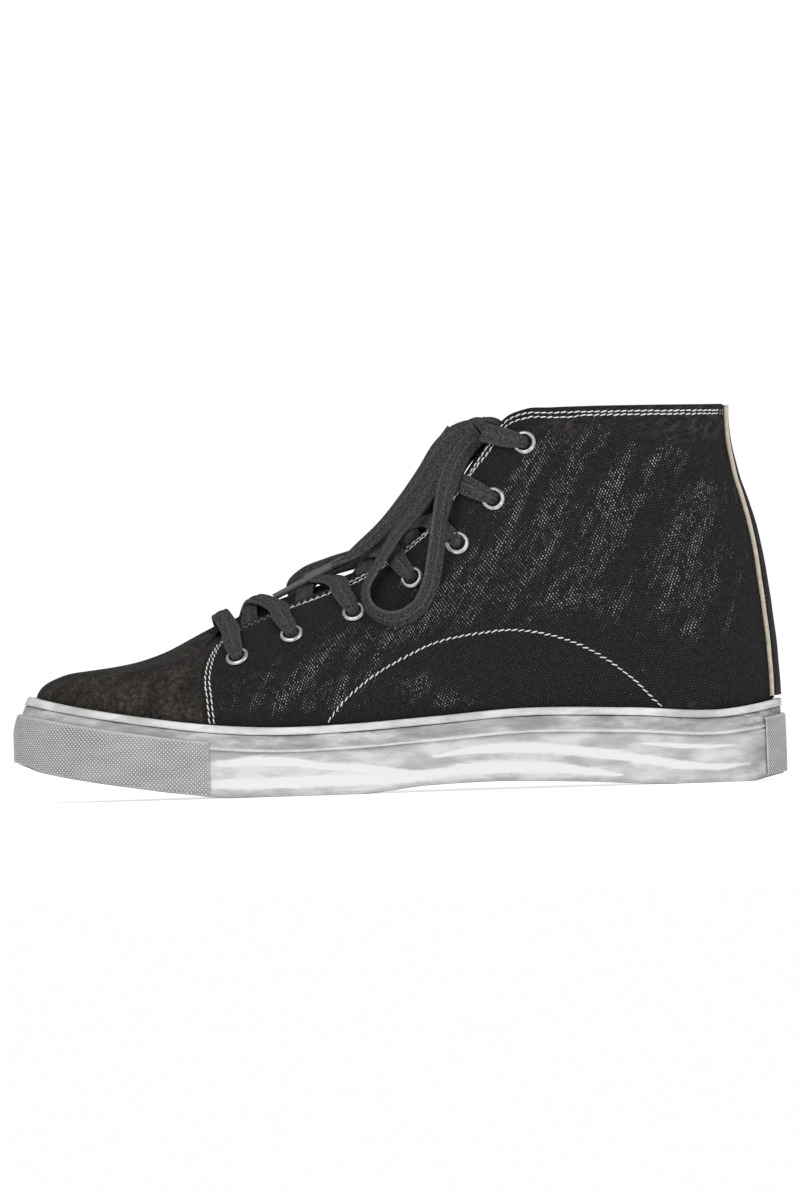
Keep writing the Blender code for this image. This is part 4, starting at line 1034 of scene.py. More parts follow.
@dataclass
class Cupsole:
    """Rubber cup: side wall with a band and painted streaks, rim and cut tread."""

    columns: int = 720
    body_rows: int = 40
    tread_columns: int = 260
    tread_rows: int = 60
    inner_scale: float = 0.95
    inner_shift: float = 0.02
    paint_end: float = 0.141
    band_height: float = 0.0064
    band_step: float = 0.0005
    groove: float = 0.0005
    strip_height: float = 0.0030
    tread_rim: float = 0.0085
    corner: float = 0.0012
    groove_width: float = 0.0030
    groove_depth: float = 0.0015
    forefoot: tuple[float, float, int] = (0.13, 0.45, 9)
    heel: tuple[float, float, int] = (0.77, 0.93, 5)

    def wall(self) -> tuple[Points, Points]:
        """Points of the side wall and their heights above the tread, column by column."""
        angle = LAST.even_angles(self.columns)[:, None]
        top = LAST.cup_top(angle)
        low = LAST.ground_at(LAST.outline_point(angle)[..., 0])
        band_top = top - self.strip_height - LAST.gap
        band_low = band_top - self.band_height
        sweep = np.linspace(0, 1, self.body_rows)[None]
        body = low + self.corner + (band_low - self.groove - low - self.corner) * sweep
        rows = [(0.45 * self.corner, low + 0.12 * self.corner), (0.12 * self.corner, low + 0.5 * self.corner)]
        levels = [(LAST.side_inset(angle, z) + inset, z) for inset, z in rows]
        for z in np.split(body, self.body_rows, axis=1):
            levels.append((LAST.side_inset(angle, z), z))
        dip = self.groove * 0.7
        low_inset = LAST.side_inset(angle, band_low)
        levels.append((low_inset + self.band_step * 0.6 + dip, band_low - self.groove * 0.4))
        levels.append((low_inset + self.band_step * 0.2, band_low + 0.0001))
        levels.append((low_inset - 0.0001, band_low + 0.0004))
        levels.append((low_inset, band_low + 0.0008))
        levels.append((low_inset + self.band_step * 0.8, band_low + 0.0012))
        for share in np.linspace(0.25, 1, 12):
            z = band_low + self.band_height * share
            levels.append((LAST.side_inset(angle, z) + self.band_step, z))
        behind = LAST.strip_thickness + LAST.gap
        levels.append((LAST.side_inset(angle, band_top) + behind, band_top))
        levels.append((LAST.side_inset(angle, top) + behind, top - 0.0002))
        inner = LAST.side_inset(angle, top) + behind + LAST.rim_thickness
        levels.append((inner, top - 0.0002))
        levels.append((inner, LAST.cup_floor(angle)))
        points = np.stack([LAST.inset_point(angle, inset, z)[:, 0] for inset, z in levels], axis=1)
        return points, points[..., 2] - low

    def build(self) -> bpy.types.Object:
        """Side wall and tread as one piece."""
        points, height = self.wall()
        columns, rows = points.shape[:2]
        cloth = np.zeros(points.shape)
        cloth[..., 0] = arc_lengths(points, 0)[:, rows // 2, None]
        cloth[..., 1] = points[..., 2]
        shifted = points.copy()
        mirrored = -points[..., 0] * self.inner_scale + self.inner_shift
        shifted[..., 0] = np.where(points[..., 1] > 0, mirrored, points[..., 0])
        paint = np.max([stroke.mask(shifted) for stroke in STROKES], axis=0)
        paint = np.where(np.abs(points[..., 0]) > self.paint_end, 0, paint)
        seam = self.strip_height + LAST.gap + self.band_height
        below = LAST.cup_top(LAST.even_angles(self.columns))[:, None] - points[..., 2]
        # Pale line on the band's ridge, added to the paint mask: painted highlight.
        paint = np.maximum(paint, 0.62 * np.exp(-((below - seam + 0.0006) / 0.0005) ** 2))
        # Darker by place: painted shade in the groove under the band's ridge, a greyer band, a greyer bottom
        # edge, darker towards the heel end, and painted shade under the strip's lower edge.
        grime = 0.7 * np.exp(-((below - seam - 0.0006) / 0.0005) ** 2) + 0.75 * (below < seam - 0.0012)
        grime = grime + 0.5 * (height < 0.0015) + 0.7 * ramp(points[..., 0], 0.126, 0.143)
        grime = grime + 0.9 * np.exp(-((below - self.strip_height) / 0.0006) ** 2)
        faces = grid_faces(columns, rows, wrap_columns=True)
        tread, tread_faces = self.tread(columns * rows)
        every = np.concatenate([points.reshape(-1, 3), tread])
        tread_cloth = np.column_stack([tread[:, :2], np.zeros(len(tread))])
        flat = np.concatenate([cloth.reshape(-1, 3), tread_cloth])
        masks = {
            "paint": np.concatenate([paint.ravel(), np.zeros(len(tread))]),
            "grime": np.concatenate([grime.ravel(), np.full(len(tread), 0.5)]),
        }
        piece = new_piece("cupsole_dressed", every, faces + tread_faces, SOLE_RUBBER.material(),
                          flat, masks)
        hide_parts("cupsole")
        return piece

    def tread(self, start: int) -> tuple[Points, list]:
        """Underside as strips from side to side, with cross grooves and fine ribs."""
        grooves = [first + (last - first) * k / (count - 1)
                   for first, last, count in (self.forefoot, self.heel) for k in range(count)]
        station = set(np.linspace(0.0, 1.0, self.tread_columns).tolist())
        for place in grooves:
            half = self.groove_width / LAST.cup_length / 2
            station.update((place - half, place - half + 0.0004, place + half - 0.0004, place + half))
        station = np.clip(np.array(sorted(station)), 0.0005, 0.9995)
        angle = np.arccos(2 * station - 1) / np.pi
        outer = LAST.inset_point(angle, 0.45 * self.corner, 0)
        inner = LAST.inset_point(2 - angle, 0.45 * self.corner, 0)
        share = np.linspace(0, 1, self.tread_rows)[None, :, None]
        points = outer[:, None] * (1 - share) + inner[:, None] * share
        x, y = points[..., 0], points[..., 1]
        rim = np.minimum(y - outer[:, None, 1], inner[:, None, 1] - y)
        inside = ramp(rim, self.tread_rim + self.groove_width - 0.0012, self.tread_rim + self.groove_width)
        depth = np.zeros_like(x)
        for place in grooves:
            away = np.abs(x / LAST.cup_length + 0.5 - place) * LAST.cup_length
            depth = np.maximum(depth, self.groove_depth * (away < self.groove_width / 2 - 0.00002))
        ribs = 0.00025 * (np.sin(x * 1200 + 2 * np.abs(y) * 1200) > 0)
        points[..., 2] = LAST.ground_at(x) + np.maximum(depth, ribs) * inside
        return points.reshape(-1, 3), grid_faces(len(points), self.tread_rows, start=start)


@dataclass
class SoleTrim:
    """Foxing strip and the two textured bumpers."""

    strip_height: float = 0.0030
    toe_top: float = 0.0066
    heel_top: float = 0.0058
    heel_station: float = 0.9757
    bottom: float = 0.0008
    columns: int = 640

    def strip(self) -> bpy.types.Object:
        """Rolled strip round the top of the cup."""
        angle = LAST.even_angles(self.columns)[:, None]
        top = LAST.cup_top(angle)
        low = top - self.strip_height
        thick = LAST.strip_thickness
        corners = ((1.0, 0.0), (0.35, 0.0), (0.08, 0.07), (0.0, 0.2), (0.0, 0.42), (0.05, 0.62),
                   (0.0, 0.8), (0.12, 0.93), (0.4, 1.0), (0.75, 1.02), (1.0, 0.99))
        rings = []
        for inward, upward in corners:
            z = low + self.strip_height * upward
            rings.append(LAST.inset_point(angle, LAST.side_inset(angle, z) + thick * inward, z)[:, 0])
        points = np.stack(rings, axis=1)
        cloth = np.zeros(points.shape)
        cloth[..., 0] = arc_lengths(points, 0)[:, 4, None]
        cloth[..., 1] = points[..., 2]
        up = (points[..., 2] - low) / self.strip_height
        # Darker on the strip's underside where it turns under: painted shade; also darker along its top edge,
        # and a little overall.
        grime = 0.9 * ramp(0.12 - up, 0, 0.1) + 0.5 * np.exp(-((up - 1.0) / 0.08) ** 2) + 0.14
        paint = 0.25 * np.ones_like(up)
        faces = grid_faces(self.columns, len(corners), True, True)
        piece = new_piece("foxing_strip_dressed", points, faces, STRIP_RUBBER.material(),
                          cloth, {"paint": paint, "grime": grime})
        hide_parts("foxing_strip")
        return piece

    def bumper(self, name: str, angle: Points, below_top: float) -> bpy.types.Object:
        """Textured rubber round one end of the cup, with eased edges."""
        angle = angle[:, None]
        low = LAST.ground_at(LAST.outline_point(angle)[..., 0]) + self.bottom
        high = LAST.cup_top(angle) - below_top
        thick = LAST.bumper_thickness
        rows = [(-LAST.gap, 0.0), (-LAST.gap - thick * 0.6, 0.0), (-LAST.gap - thick, 0.03)]
        rows += [(-LAST.gap - thick, share) for share in np.linspace(0.06, 0.94, 30)]
        rows += [(-LAST.gap - thick, 0.97), (-LAST.gap - thick * 0.6, 1.0), (-LAST.gap, 1.0)]
        columns = []
        for inset, share in rows:
            z = low + (high - low) * share
            columns.append(LAST.inset_point(angle, LAST.side_inset(angle, z) + inset, z)[:, 0])
        points = np.stack(columns, axis=1)
        ends = []
        for column, beside in ((0, 1), (-1, -2)):
            end = points[column]
            wall = end[0] + (end[-1] - end[0]) * np.linspace(0, 1, len(rows))[:, None]
            out = unit(end - wall + 1e-9)
            ends.append(end - out * thick * 0.9 - (points[beside] - end) * 0.15)
        points = np.concatenate([ends[0][None], points, ends[1][None]])
        cloth = np.zeros(points.shape)
        cloth[..., 0] = arc_lengths(points, 0)[:, len(rows) // 2, None]
        cloth[..., 1] = points[..., 2]
        up = np.broadcast_to(np.array([share for _, share in rows]), points.shape[:2])
        # Painted shade along the bumper's top edge and on the front of the toe.
        grime = 0.5 * np.exp(-((up - 1) / 0.03) ** 2) + 0.5 * ramp(-points[..., 0], 0.120, 0.148)
        along = np.minimum(cloth[..., 0], cloth[-1, :, 0] - cloth[..., 0])
        border = np.maximum(1 - ramp(along, 0.0005, 0.0011), ramp(up, 0.955, 0.985))
        piece = new_piece(f"{name}_dressed", points, grid_faces(*points.shape[:2]),
                          BUMPER_RUBBER.material(), cloth,
                          {"paint": np.zeros_like(up), "grime": grime, "border": border})
        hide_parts(name)
        return piece

    def build(self) -> None:
        """Strip and both bumpers."""
        self.strip()
        self.bumper("toe_bumper", np.linspace(LAST.seam_back, 2 - LAST.seam_back, 420), self.toe_top)
        heel = angle_of(self.heel_station)
        self.bumper("heel_bumper", np.linspace(-heel, heel, 140), self.heel_top)


# Upper


@dataclass
class Upper:
    """Suede vamp, canvas quarters over it and the lining inside."""

    wall: float = 0.0020
    step: float = 0.0006
    edge_rise: float = 0.0005
    columns: int = 480
    rows: int = 90
    # Scuffed spots: strength, then place and reach along, and place and reach up, in millimetres
    scuffs: tuple = ((0.9, 115, 14, 136, 4), (0.9, 68, 9, 139, 3), (0.8, 113, 7, 30, 2))
    # Front edge of the quarters: height and place along, in millimetres
    front: tuple = (
        (15.0, -75.0), (30.0, -75.3), (38.2, -75.9), (46.0, -76.4), (52.9, -74.7), (57.5, -71.8),
        (62.0, -67.6), (64.5, -64.6), (68.0, -60.0), (75.0, -52.0),
    )

    def front_angle(self, level: Points, side: Side = Side.OUTER) -> Points:
        """How far round from the heel the quarter's front edge lies, rounded at its top corner.

        Args:
            level: Levels of the places.
            side: Side of the shoe.

        Returns:
            Angles measured from the heel, positive on both sides.
        """
        curve = Curve(self.front)
        turn = -side.value
        reach = np.full_like(level, LAST.seam_back)
        for _ in range(10):
            here = LAST.upper_point(turn * reach, level)
            slope = (LAST.upper_point(turn * (reach + 0.002), level)[..., 0] - here[..., 0]) / 0.002
            target = curve.at(here[..., 2] * 1000) / 1000
            reach = np.clip(reach + 0.7 * (target - here[..., 0]) / slope, 0.6, 0.72)
        return reach

    def sheet(self, angle: Points, level: Points, lift: Points) -> Points:
        """Creased points of the upper at a depth below or above its outer surface."""
        point = LAST.upper_point(angle, level)
        normal = LAST.upper_normal(angle, level)
        return creased(point, normal) + normal * np.asarray(lift)[..., None]

    def cloth_of(self, points: Points) -> Points:
        """Place along the cloth: length round the shoe at half height, and height."""
        cloth = np.zeros(points.shape)
        middle = arc_lengths(points, 0)[:, points.shape[1] // 2]
        cloth[..., 0] = middle[:, None]
        cloth[..., 1] = arc_lengths(points, 1)
        return cloth

    def shell(self) -> bpy.types.Object:
        """Vamp skin, edge and lining as one closed sheet round the shoe."""
        angle = LAST.even_angles(self.columns)[:, None]
        out = np.concatenate([[-0.35], np.linspace(0, TOP_LEVEL, self.rows)])
        back = np.linspace(TOP_LEVEL, -0.6, self.rows // 2)
        depth_out = np.full(len(out), -self.step)
        depth_back = np.full(len(back), -self.wall)
        level = np.concatenate([out, [TOP_LEVEL], back])[None]
        depth = np.concatenate([depth_out, [-0.5 * (self.step + self.wall)], depth_back])[None]
        angle, level = np.broadcast_arrays(angle, level)
        points = self.sheet(angle, level, np.broadcast_to(depth, angle.shape))
        bead = len(out)
        up = unit(LAST.upper_point(angle[:, bead], TOP_LEVEL + 0 * angle[:, bead])
                  - LAST.upper_point(angle[:, bead], TOP_LEVEL - 0.1 + 0 * angle[:, bead]))
        points[:, bead] += up * self.edge_rise
        faces = np.array(grid_faces(*points.shape[:2], wrap_columns=True))
        piece = new_piece("vamp_and_lining", points, faces.tolist(), SUEDE.material(),
                          self.cloth_of(points), unworn(points))
        piece.data.materials.append(LINING.material())
        row = faces[:, 0] % points.shape[1]
        piece.data.polygons.foreach_set("material_index", (row >= bead).astype(int))
        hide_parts("upper")
        return piece

    def quarters(self) -> bpy.types.Object:
        """Canvas over the vamp, from one front edge round the heel to the other."""
        level = np.linspace(0, TOP_LEVEL, self.rows + 20)
        share = LAST.even_angles(2 * self.columns)
        share = share[share < LAST.seam_back]
        share = (np.concatenate([share, [LAST.seam_back]]) / LAST.seam_back)[:, None]
        outer = share * self.front_angle(level, Side.OUTER)[None]
        inner = share * self.front_angle(level, Side.INNER)[None]
        angle = np.concatenate([outer[::-1], -inner[1:]])
        level = np.broadcast_to(level[None], angle.shape)
        points = self.sheet(angle, level, np.zeros(angle.shape))
        below = self.sheet(angle, level, np.full(angle.shape, -self.step - 0.0002))
        grids = turned_down(points, below)
        cloth = self.cloth_of(grids)
        cloth[..., 0] += 0.0005 * np.sin(cloth[..., 1] * 90)
        return new_piece("quarters", grids, grid_faces(*grids.shape[:2]), CANVAS.material(),
                         cloth, self.marks(grids))

    def marks(self, points: Points) -> dict[str, Points]:
        """Masks of the quarters' scuffs, and of where they have rubbed pale less painted shade along the
        throat.
        """
        x, z = points[..., 0] * 1000, points[..., 2] * 1000
        scuff = 0.7 * ramp(z, 134, 143) * ramp(x, 40, 128)
        for strength, along, reach, up, high in self.scuffs:
            scuff = scuff + strength * np.exp(-(((x - along) / reach) ** 2 + ((z - up) / high) ** 2))
        rubbed = np.max([stroke.mask(points) for stroke in RUBS], axis=0)
        foot = 0.9 * ramp(-z, -34, -29)
        # Painted shade: fewer pale crowns in a band along the throat edge, so the canvas is darker there.
        throat = 1.6 * np.exp(-((z - x * 0.75 - 103) / 10) ** 2) * (x < 60)
        return {"scuff": scuff, "worn": rubbed - foot - throat}

    def build(self) -> None:
        """Shell and quarters, and a search tree of the quarters for the stitching."""
        self.shell()
        piece = self.quarters()
        mesh = piece.data
        self.tree = BVHTree.FromPolygons([v.co.copy() for v in mesh.vertices],
                                         [tuple(p.vertices) for p in mesh.polygons])

    def spot(self, x: float, z: float, side: Side) -> tuple[Vector, Vector] | None:
        """Place and outward direction on the quarters seen from one side.

        Args:
            x: Place along the shoe, in millimetres.
            z: Height, in millimetres.
            side: Which side to look from.

        Returns:
            Point and normal, or None where the quarters aren't met.
        """
        start = Vector((x / 1000, side.value * 0.2, z / 1000))
        hit, normal, _, _ = self.tree.ray_cast(start, Vector((0, -side.value, 0)))
        if hit is None or hit.y * side.value < 0:
            return None
        if normal.y * side.value < 0:
            normal = -normal
        return hit, normal


@dataclass
class Stitching:
    """Rows of thread laid on the quarters."""

    upper: Upper
    pitch: float = 0.0026
    length: float = 0.0025
    radius: float = 0.00027
    rows: tuple[float, float] = (0.0014, 0.0031)
    front_rows: tuple[float, float] = (0.0021, 0.0038)
    furthest: tuple[float, float] = (0.0060, 0.0100)
    arc: tuple = (
        (-27.7, 28.1), (-20.8, 36.4), (-12.8, 43.2), (1.0, 51.3), (16.8, 58.1), (32.4, 60.7),
        (44.1, 61.5), (57.6, 59.5), (71.0, 54.8), (82.5, 47.8), (91.9, 40.1), (97.6, 34.1), (102.1, 29.7),
    )

    def rows_at_edge(self) -> list[Points]:
        """Two rows along the front edge, throat and collar of each side."""
        result = []
        level = np.linspace(0.05, TOP_LEVEL, 160)
        drop = np.linspace(0, 6, 121)
        for side in Side:
            turn = -side.value
            front = self.upper.front_angle(level, side)
            top = np.linspace(front[-1], 0.042, 800)
            edge = LAST.top_point(turn * top)
            sheet = LAST.upper_point(turn * top[:, None], TOP_LEVEL - drop[None])
            run = unit(np.gradient(edge, axis=0)[:, [0, 2]])
            away = sheet - edge[:, None]
            seen = np.abs(away[..., 0] * run[:, None, 1] - away[..., 2] * run[:, None, 0])
            far = np.linalg.norm(away, axis=-1)
            front_edge = LAST.upper_point(turn * front, level)
            for row, front_row, most in zip(self.rows, self.front_rows, self.furthest):
                done = (seen >= row) | (far >= most)
                first = np.argmax(done, axis=1)
                over = sheet[np.arange(len(top)), first]
                shift = np.full_like(front, 0.004)
                for _ in range(4):
                    moved = LAST.upper_point(turn * (front - shift), level)
                    gap = np.linalg.norm(moved - front_edge, axis=-1)
                    shift = shift * front_row / np.maximum(gap, 1e-6)
                up = LAST.upper_point(turn * (front - shift), level)
                up = up[self.clear(up, edge) > row]
                over = over[self.clear(over, front_edge) > front_row]
                result.append(self.eased(np.concatenate([up, over])))
        return result

    def clear(self, points: Points, line: Points) -> Points:
        """Distance of each point from a line of points, seen from the side."""
        apart = points[:, None, [0, 2]] - line[None, :, [0, 2]]
        return np.linalg.norm(apart, axis=-1).min(axis=1)

    def eased(self, points: Points) -> Points:
        """Even points of a row with its corners rounded."""
        run = run_lengths(points)
        even = np.arange(0, run[-1], 0.0005)
        row = np.column_stack([np.interp(even, run, points[:, k]) for k in range(3)])
        for _ in range(20):
            row[1:-1] = 0.5 * row[1:-1] + 0.25 * (row[:-2] + row[2:])
        return row

    def on_skin(self, points: Points) -> tuple[Points, Points]:
        """Points moved onto the quarters, with their normals."""
        places, normals = [], []
        for point in points:
            hit, normal, _, _ = self.upper.tree.find_nearest(Vector(point))
            if (hit + normal * 0.01 - Vector((hit.x, 0, hit.z))).length < abs(hit.y):
                normal = -normal
            places.append(hit)
            normals.append(normal)
        return np.array(places), np.array(normals)

    def beads(self, points: Points, normals: Points, seed: int, slant: float) -> tuple[Points, list]:
        """Stitches along a row of points.

        Args:
            points: Row on the cloth.
            normals: Outward directions.
            seed: Start of the small unevenness.
            slant: Sideways turn of every stitch.

        Returns:
            Vertices and faces.
        """
        rng = np.random.default_rng(seed)
        run = run_lengths(points)
        count = int(run[-1] / self.pitch)
        sides, rings = 6, 7
        vertices, faces = [], []
        shape = np.linspace(-1, 1, rings)
        turn = np.linspace(0, 2 * np.pi, sides, endpoint=False)
        for k in range(count):
            centre = (k + 0.5) * self.pitch
            place = centre + shape * self.length / 2 * rng.uniform(0.92, 1.04)
            middle = np.column_stack([np.interp(place, run, points[:, a]) for a in range(3)])
            out = unit(np.array([np.interp(centre, run, normals[:, a]) for a in range(3)]))
            along = unit(middle[-1] - middle[0])
            side = np.cross(out, along)
            tilt = slant + rng.normal(0, 0.035)
            middle = middle + side * (shape * tilt * self.length + rng.normal(0, 0.00006))[:, None]
            middle = middle + out * (self.radius * (1.3 - 1.9 * shape**4))[:, None]
            fat = self.radius * (1 - 0.55 * np.abs(shape) ** 3) * rng.uniform(0.9, 1.1)
            ring = side * np.cos(turn)[:, None] + out * np.sin(turn)[:, None]
            body = middle[:, None] + ring * fat[:, None, None]
            faces += tube_faces(rings, sides, len(vertices) * sides * rings)
            vertices.append(body.reshape(-1, 3))
        return np.concatenate(vertices), faces

    def build(self) -> None:
        """All rows as one piece of white thread."""
        every, faces, seed = [], [], 1
        rows = [(row, 0.09) for row in self.rows_at_edge()]
        for side in Side:
            spots = smooth_route([(x, z, 0) for x, z in self.arc], 1.0)
            found = [self.upper.spot(x, z, side) for x, z, _ in spots]
            rows.append((np.array([hit[0] for hit in found if hit]), 0.15))
        for row, slant in rows:
            points, normals = self.on_skin(row)
            body, quads = self.beads(points, normals, seed, slant)
            start = sum(len(part) for part in every)
            every.append(body)
            faces += [[corner + start for corner in quad] for quad in quads]
            seed += 1
        new_piece("white_stitching", np.concatenate(every), faces, THREAD.material())


@dataclass
class HeelTrim:
    """Stay down the back seam and the piping on both sides of it."""

    thickness: float = 0.0026
    taper: float = 0.55
    foot: float = 0.0085
    head: float = 0.0055
    start: float = 0.18
    piping_radius: float = 0.0009
    piping_play: float = 0.0008

    def beside(self, level: Points, reach: Points) -> Points:
        """Angle on the outer side at a distance from the middle of the heel."""
        low, high = np.zeros_like(level), np.full_like(level, 0.3)
        for _ in range(26):
            middle = (low + high) / 2
            short = -LAST.upper_point(middle, level)[..., 1] < reach
            low = np.where(short, middle, low)
            high = np.where(short, high, middle)
        return low

    def reach(self, level: Points) -> Points:
        """Half width of the stay."""
        return self.foot + (self.head - self.foot) * level / TOP_LEVEL

    def depth(self, level: Points, share: Points) -> Points:
        """Thickness of the stay."""
        upward = np.maximum(0, level / TOP_LEVEL - 0.45) / 0.55
        return self.thickness * (1 - self.taper * upward) * (1 - 0.3 * share**4)

    def build(self, upper: Upper) -> None:
        """Stay and both pipings."""
        level = np.linspace(self.start, TOP_LEVEL, 90)
        share = np.linspace(-1, 1, 33)[:, None]
        wide = self.beside(level, self.reach(level))[None]
        angle = share * wide
        rows = np.broadcast_to(level[None], angle.shape)
        lift = LAST.gap + self.depth(rows, share)
        points = upper.sheet(angle, rows, lift)
        grids = turned_down(points, upper.sheet(angle, rows, np.full(angle.shape, 0.0001)))
        cloth = np.zeros(grids.shape)
        cloth[..., 0] = arc_lengths(grids, 0)
        cloth[..., 1] = arc_lengths(grids, 1)
        piece = new_piece("heel_stay_dressed", grids, grid_faces(*grids.shape[:2]), STAY_CANVAS.material(),
                          cloth, unworn(grids))
        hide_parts("heel_stay")
        for side in Side:
            level = np.linspace(self.start, TOP_LEVEL, 110)
            angle = self.beside(level, self.reach(level) + self.piping_radius + self.piping_play)
            route = upper.sheet(-side.value * angle, level, np.full(len(level), self.piping_radius))
            name = f"heel_piping_{side.name.lower()}"
            cord = round_cord(f"{name}_dressed", route, self.piping_radius, PIPING.material())
            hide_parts(name)


@dataclass
class Tongue:
    """Canvas tongue sunk between the eyestays."""

    wall: float = 0.0020
    play: float = 0.0011
    thickness: float = 0.0024
    across: int = 26
    toe_bulge: float = 0.0078
    # Last rungs at the toe: how far under the edge, and share of the bulge
    toe_rungs: tuple = ((0.02, 0.55), (0.4, 0.15), (0.8, 0.0))
    # Rows of a place along the shoe and the crown's height
    crowns: tuple = (
        (-0.075, 0.0050), (-0.064, 0.0068), (-0.053, 0.0070), (-0.040, 0.0066), (-0.0295, 0.0060),
        (-0.0070, 0.0051), (0.0100, 0.0048), (0.0224, 0.0047), (0.0310, 0.0045), (0.0400, 0.0038),
        (0.0600, 0.0010),
    )
    top_station: float = 0.588
    under: tuple[float, ...] = (-1.9, -1.5, -1.1, -0.7, -0.35)

    def build(self) -> None:
        """Sheet with rounded sides, closed underneath."""
        top = angle_of(self.top_station)
        angles = np.linspace(top, LAST.seam_back, 90)
        depth = self.wall + self.play
        levels = TOP_LEVEL + np.array(self.under)
        wing = len(levels)
        share = np.linspace(0, 1, self.across)[1:-1, None]
        swell = np.sin(np.pi * share) ** 2
        rungs = []
        for angle in angles:
            sides = []
            for place in (angle, 2 - angle):
                places = np.full(wing, place)
                sides.append(LAST.upper_point(places, levels) - LAST.upper_normal(places, levels) * depth)
            start, end = sides[0][-1], sides[1][-1]
            lift = unit(LAST.upper_normal(angle, TOP_LEVEL) + LAST.upper_normal(2 - angle, TOP_LEVEL))
            crown = float(Curve(self.crowns).at(start[0]))
            middle = start + (end - start) * share + lift * crown * swell
            rungs.append(np.concatenate([sides[0], middle, sides[1][::-1]]))
        bulge = np.concatenate([np.zeros(wing), swell[:, 0], np.zeros(wing)])
        span = np.linspace(LAST.seam_front, 2 - LAST.seam_front, self.across)[1:-1]
        place = np.concatenate([np.full(wing, LAST.seam_back), span, np.full(wing, 2 - LAST.seam_back)])
        for drop, part in self.toe_rungs:
            level = TOP_LEVEL - drop
            wings = np.linspace(level - 1.6, level - 0.3, wing)
            height = np.concatenate([wings, np.full(len(span), level), wings[::-1]])
            rung = LAST.upper_point(place, height) - LAST.upper_normal(place, height) * depth
            rung[:, 2] += bulge * part * self.toe_bulge
            rungs.append(rung)
        grid = np.stack(rungs)
        cloth = np.zeros(grid.shape)
        cloth[..., 0] = arc_lengths(grid, 1)
        cloth[..., 1] = arc_lengths(grid, 0)
        piece = new_piece("tongue_dressed", grid, grid_faces(*grid.shape[:2]), TONGUE_CANVAS.material(),
                          cloth, unworn(grid))
        shell = piece.modifiers.new("thickness", "SOLIDIFY")
        shell.thickness = self.thickness
        shell.offset = -1
        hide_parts("tongue")


@dataclass
class Insole:
    """Cloth insole with a pressed edge."""

    thickness: float = 0.0040
    play: float = 0.0006
    wall: float = 0.0020
    columns: int = 360
    strip_points: int = 40

    def build(self) -> None:
        """Sheet on the cup's floor, rounded at its edge."""
        angle = LAST.even_angles(self.columns)[:, None]
        behind = LAST.strip_thickness + LAST.gap + LAST.rim_thickness
        base = LAST.side_inset(angle, LAST.cup_top(angle)) + behind + LAST.gap + self.wall + self.play
        low = LAST.cup_floor(angle) + LAST.gap
        rows = ((0.0, 0.0), (0.0, 0.6), (0.0004, 0.82), (0.0013, 0.95), (0.003, 1.0))
        rings = [LAST.inset_point(angle, base + inset, low + self.thickness * up)[:, 0] for inset, up in rows]
        edge = rings[-1]
        count = len(edge)
        half = count // 2
        points = np.stack(rings, axis=1)
        share = np.linspace(0, 1, self.strip_points)[:, None]
        top = np.stack([edge[i] * (1 - share) + edge[-i % count] * share for i in range(half + 1)])
        every = np.concatenate([points.reshape(-1, 3), top.reshape(-1, 3)])
        faces = grid_faces(count, len(rows), wrap_columns=True)
        faces += grid_faces(half + 1, self.strip_points, start=count * len(rows))
        piece = new_piece("insole_dressed", every, faces, INSOLE.material())
        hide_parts("insole")


# Eyelets and lace


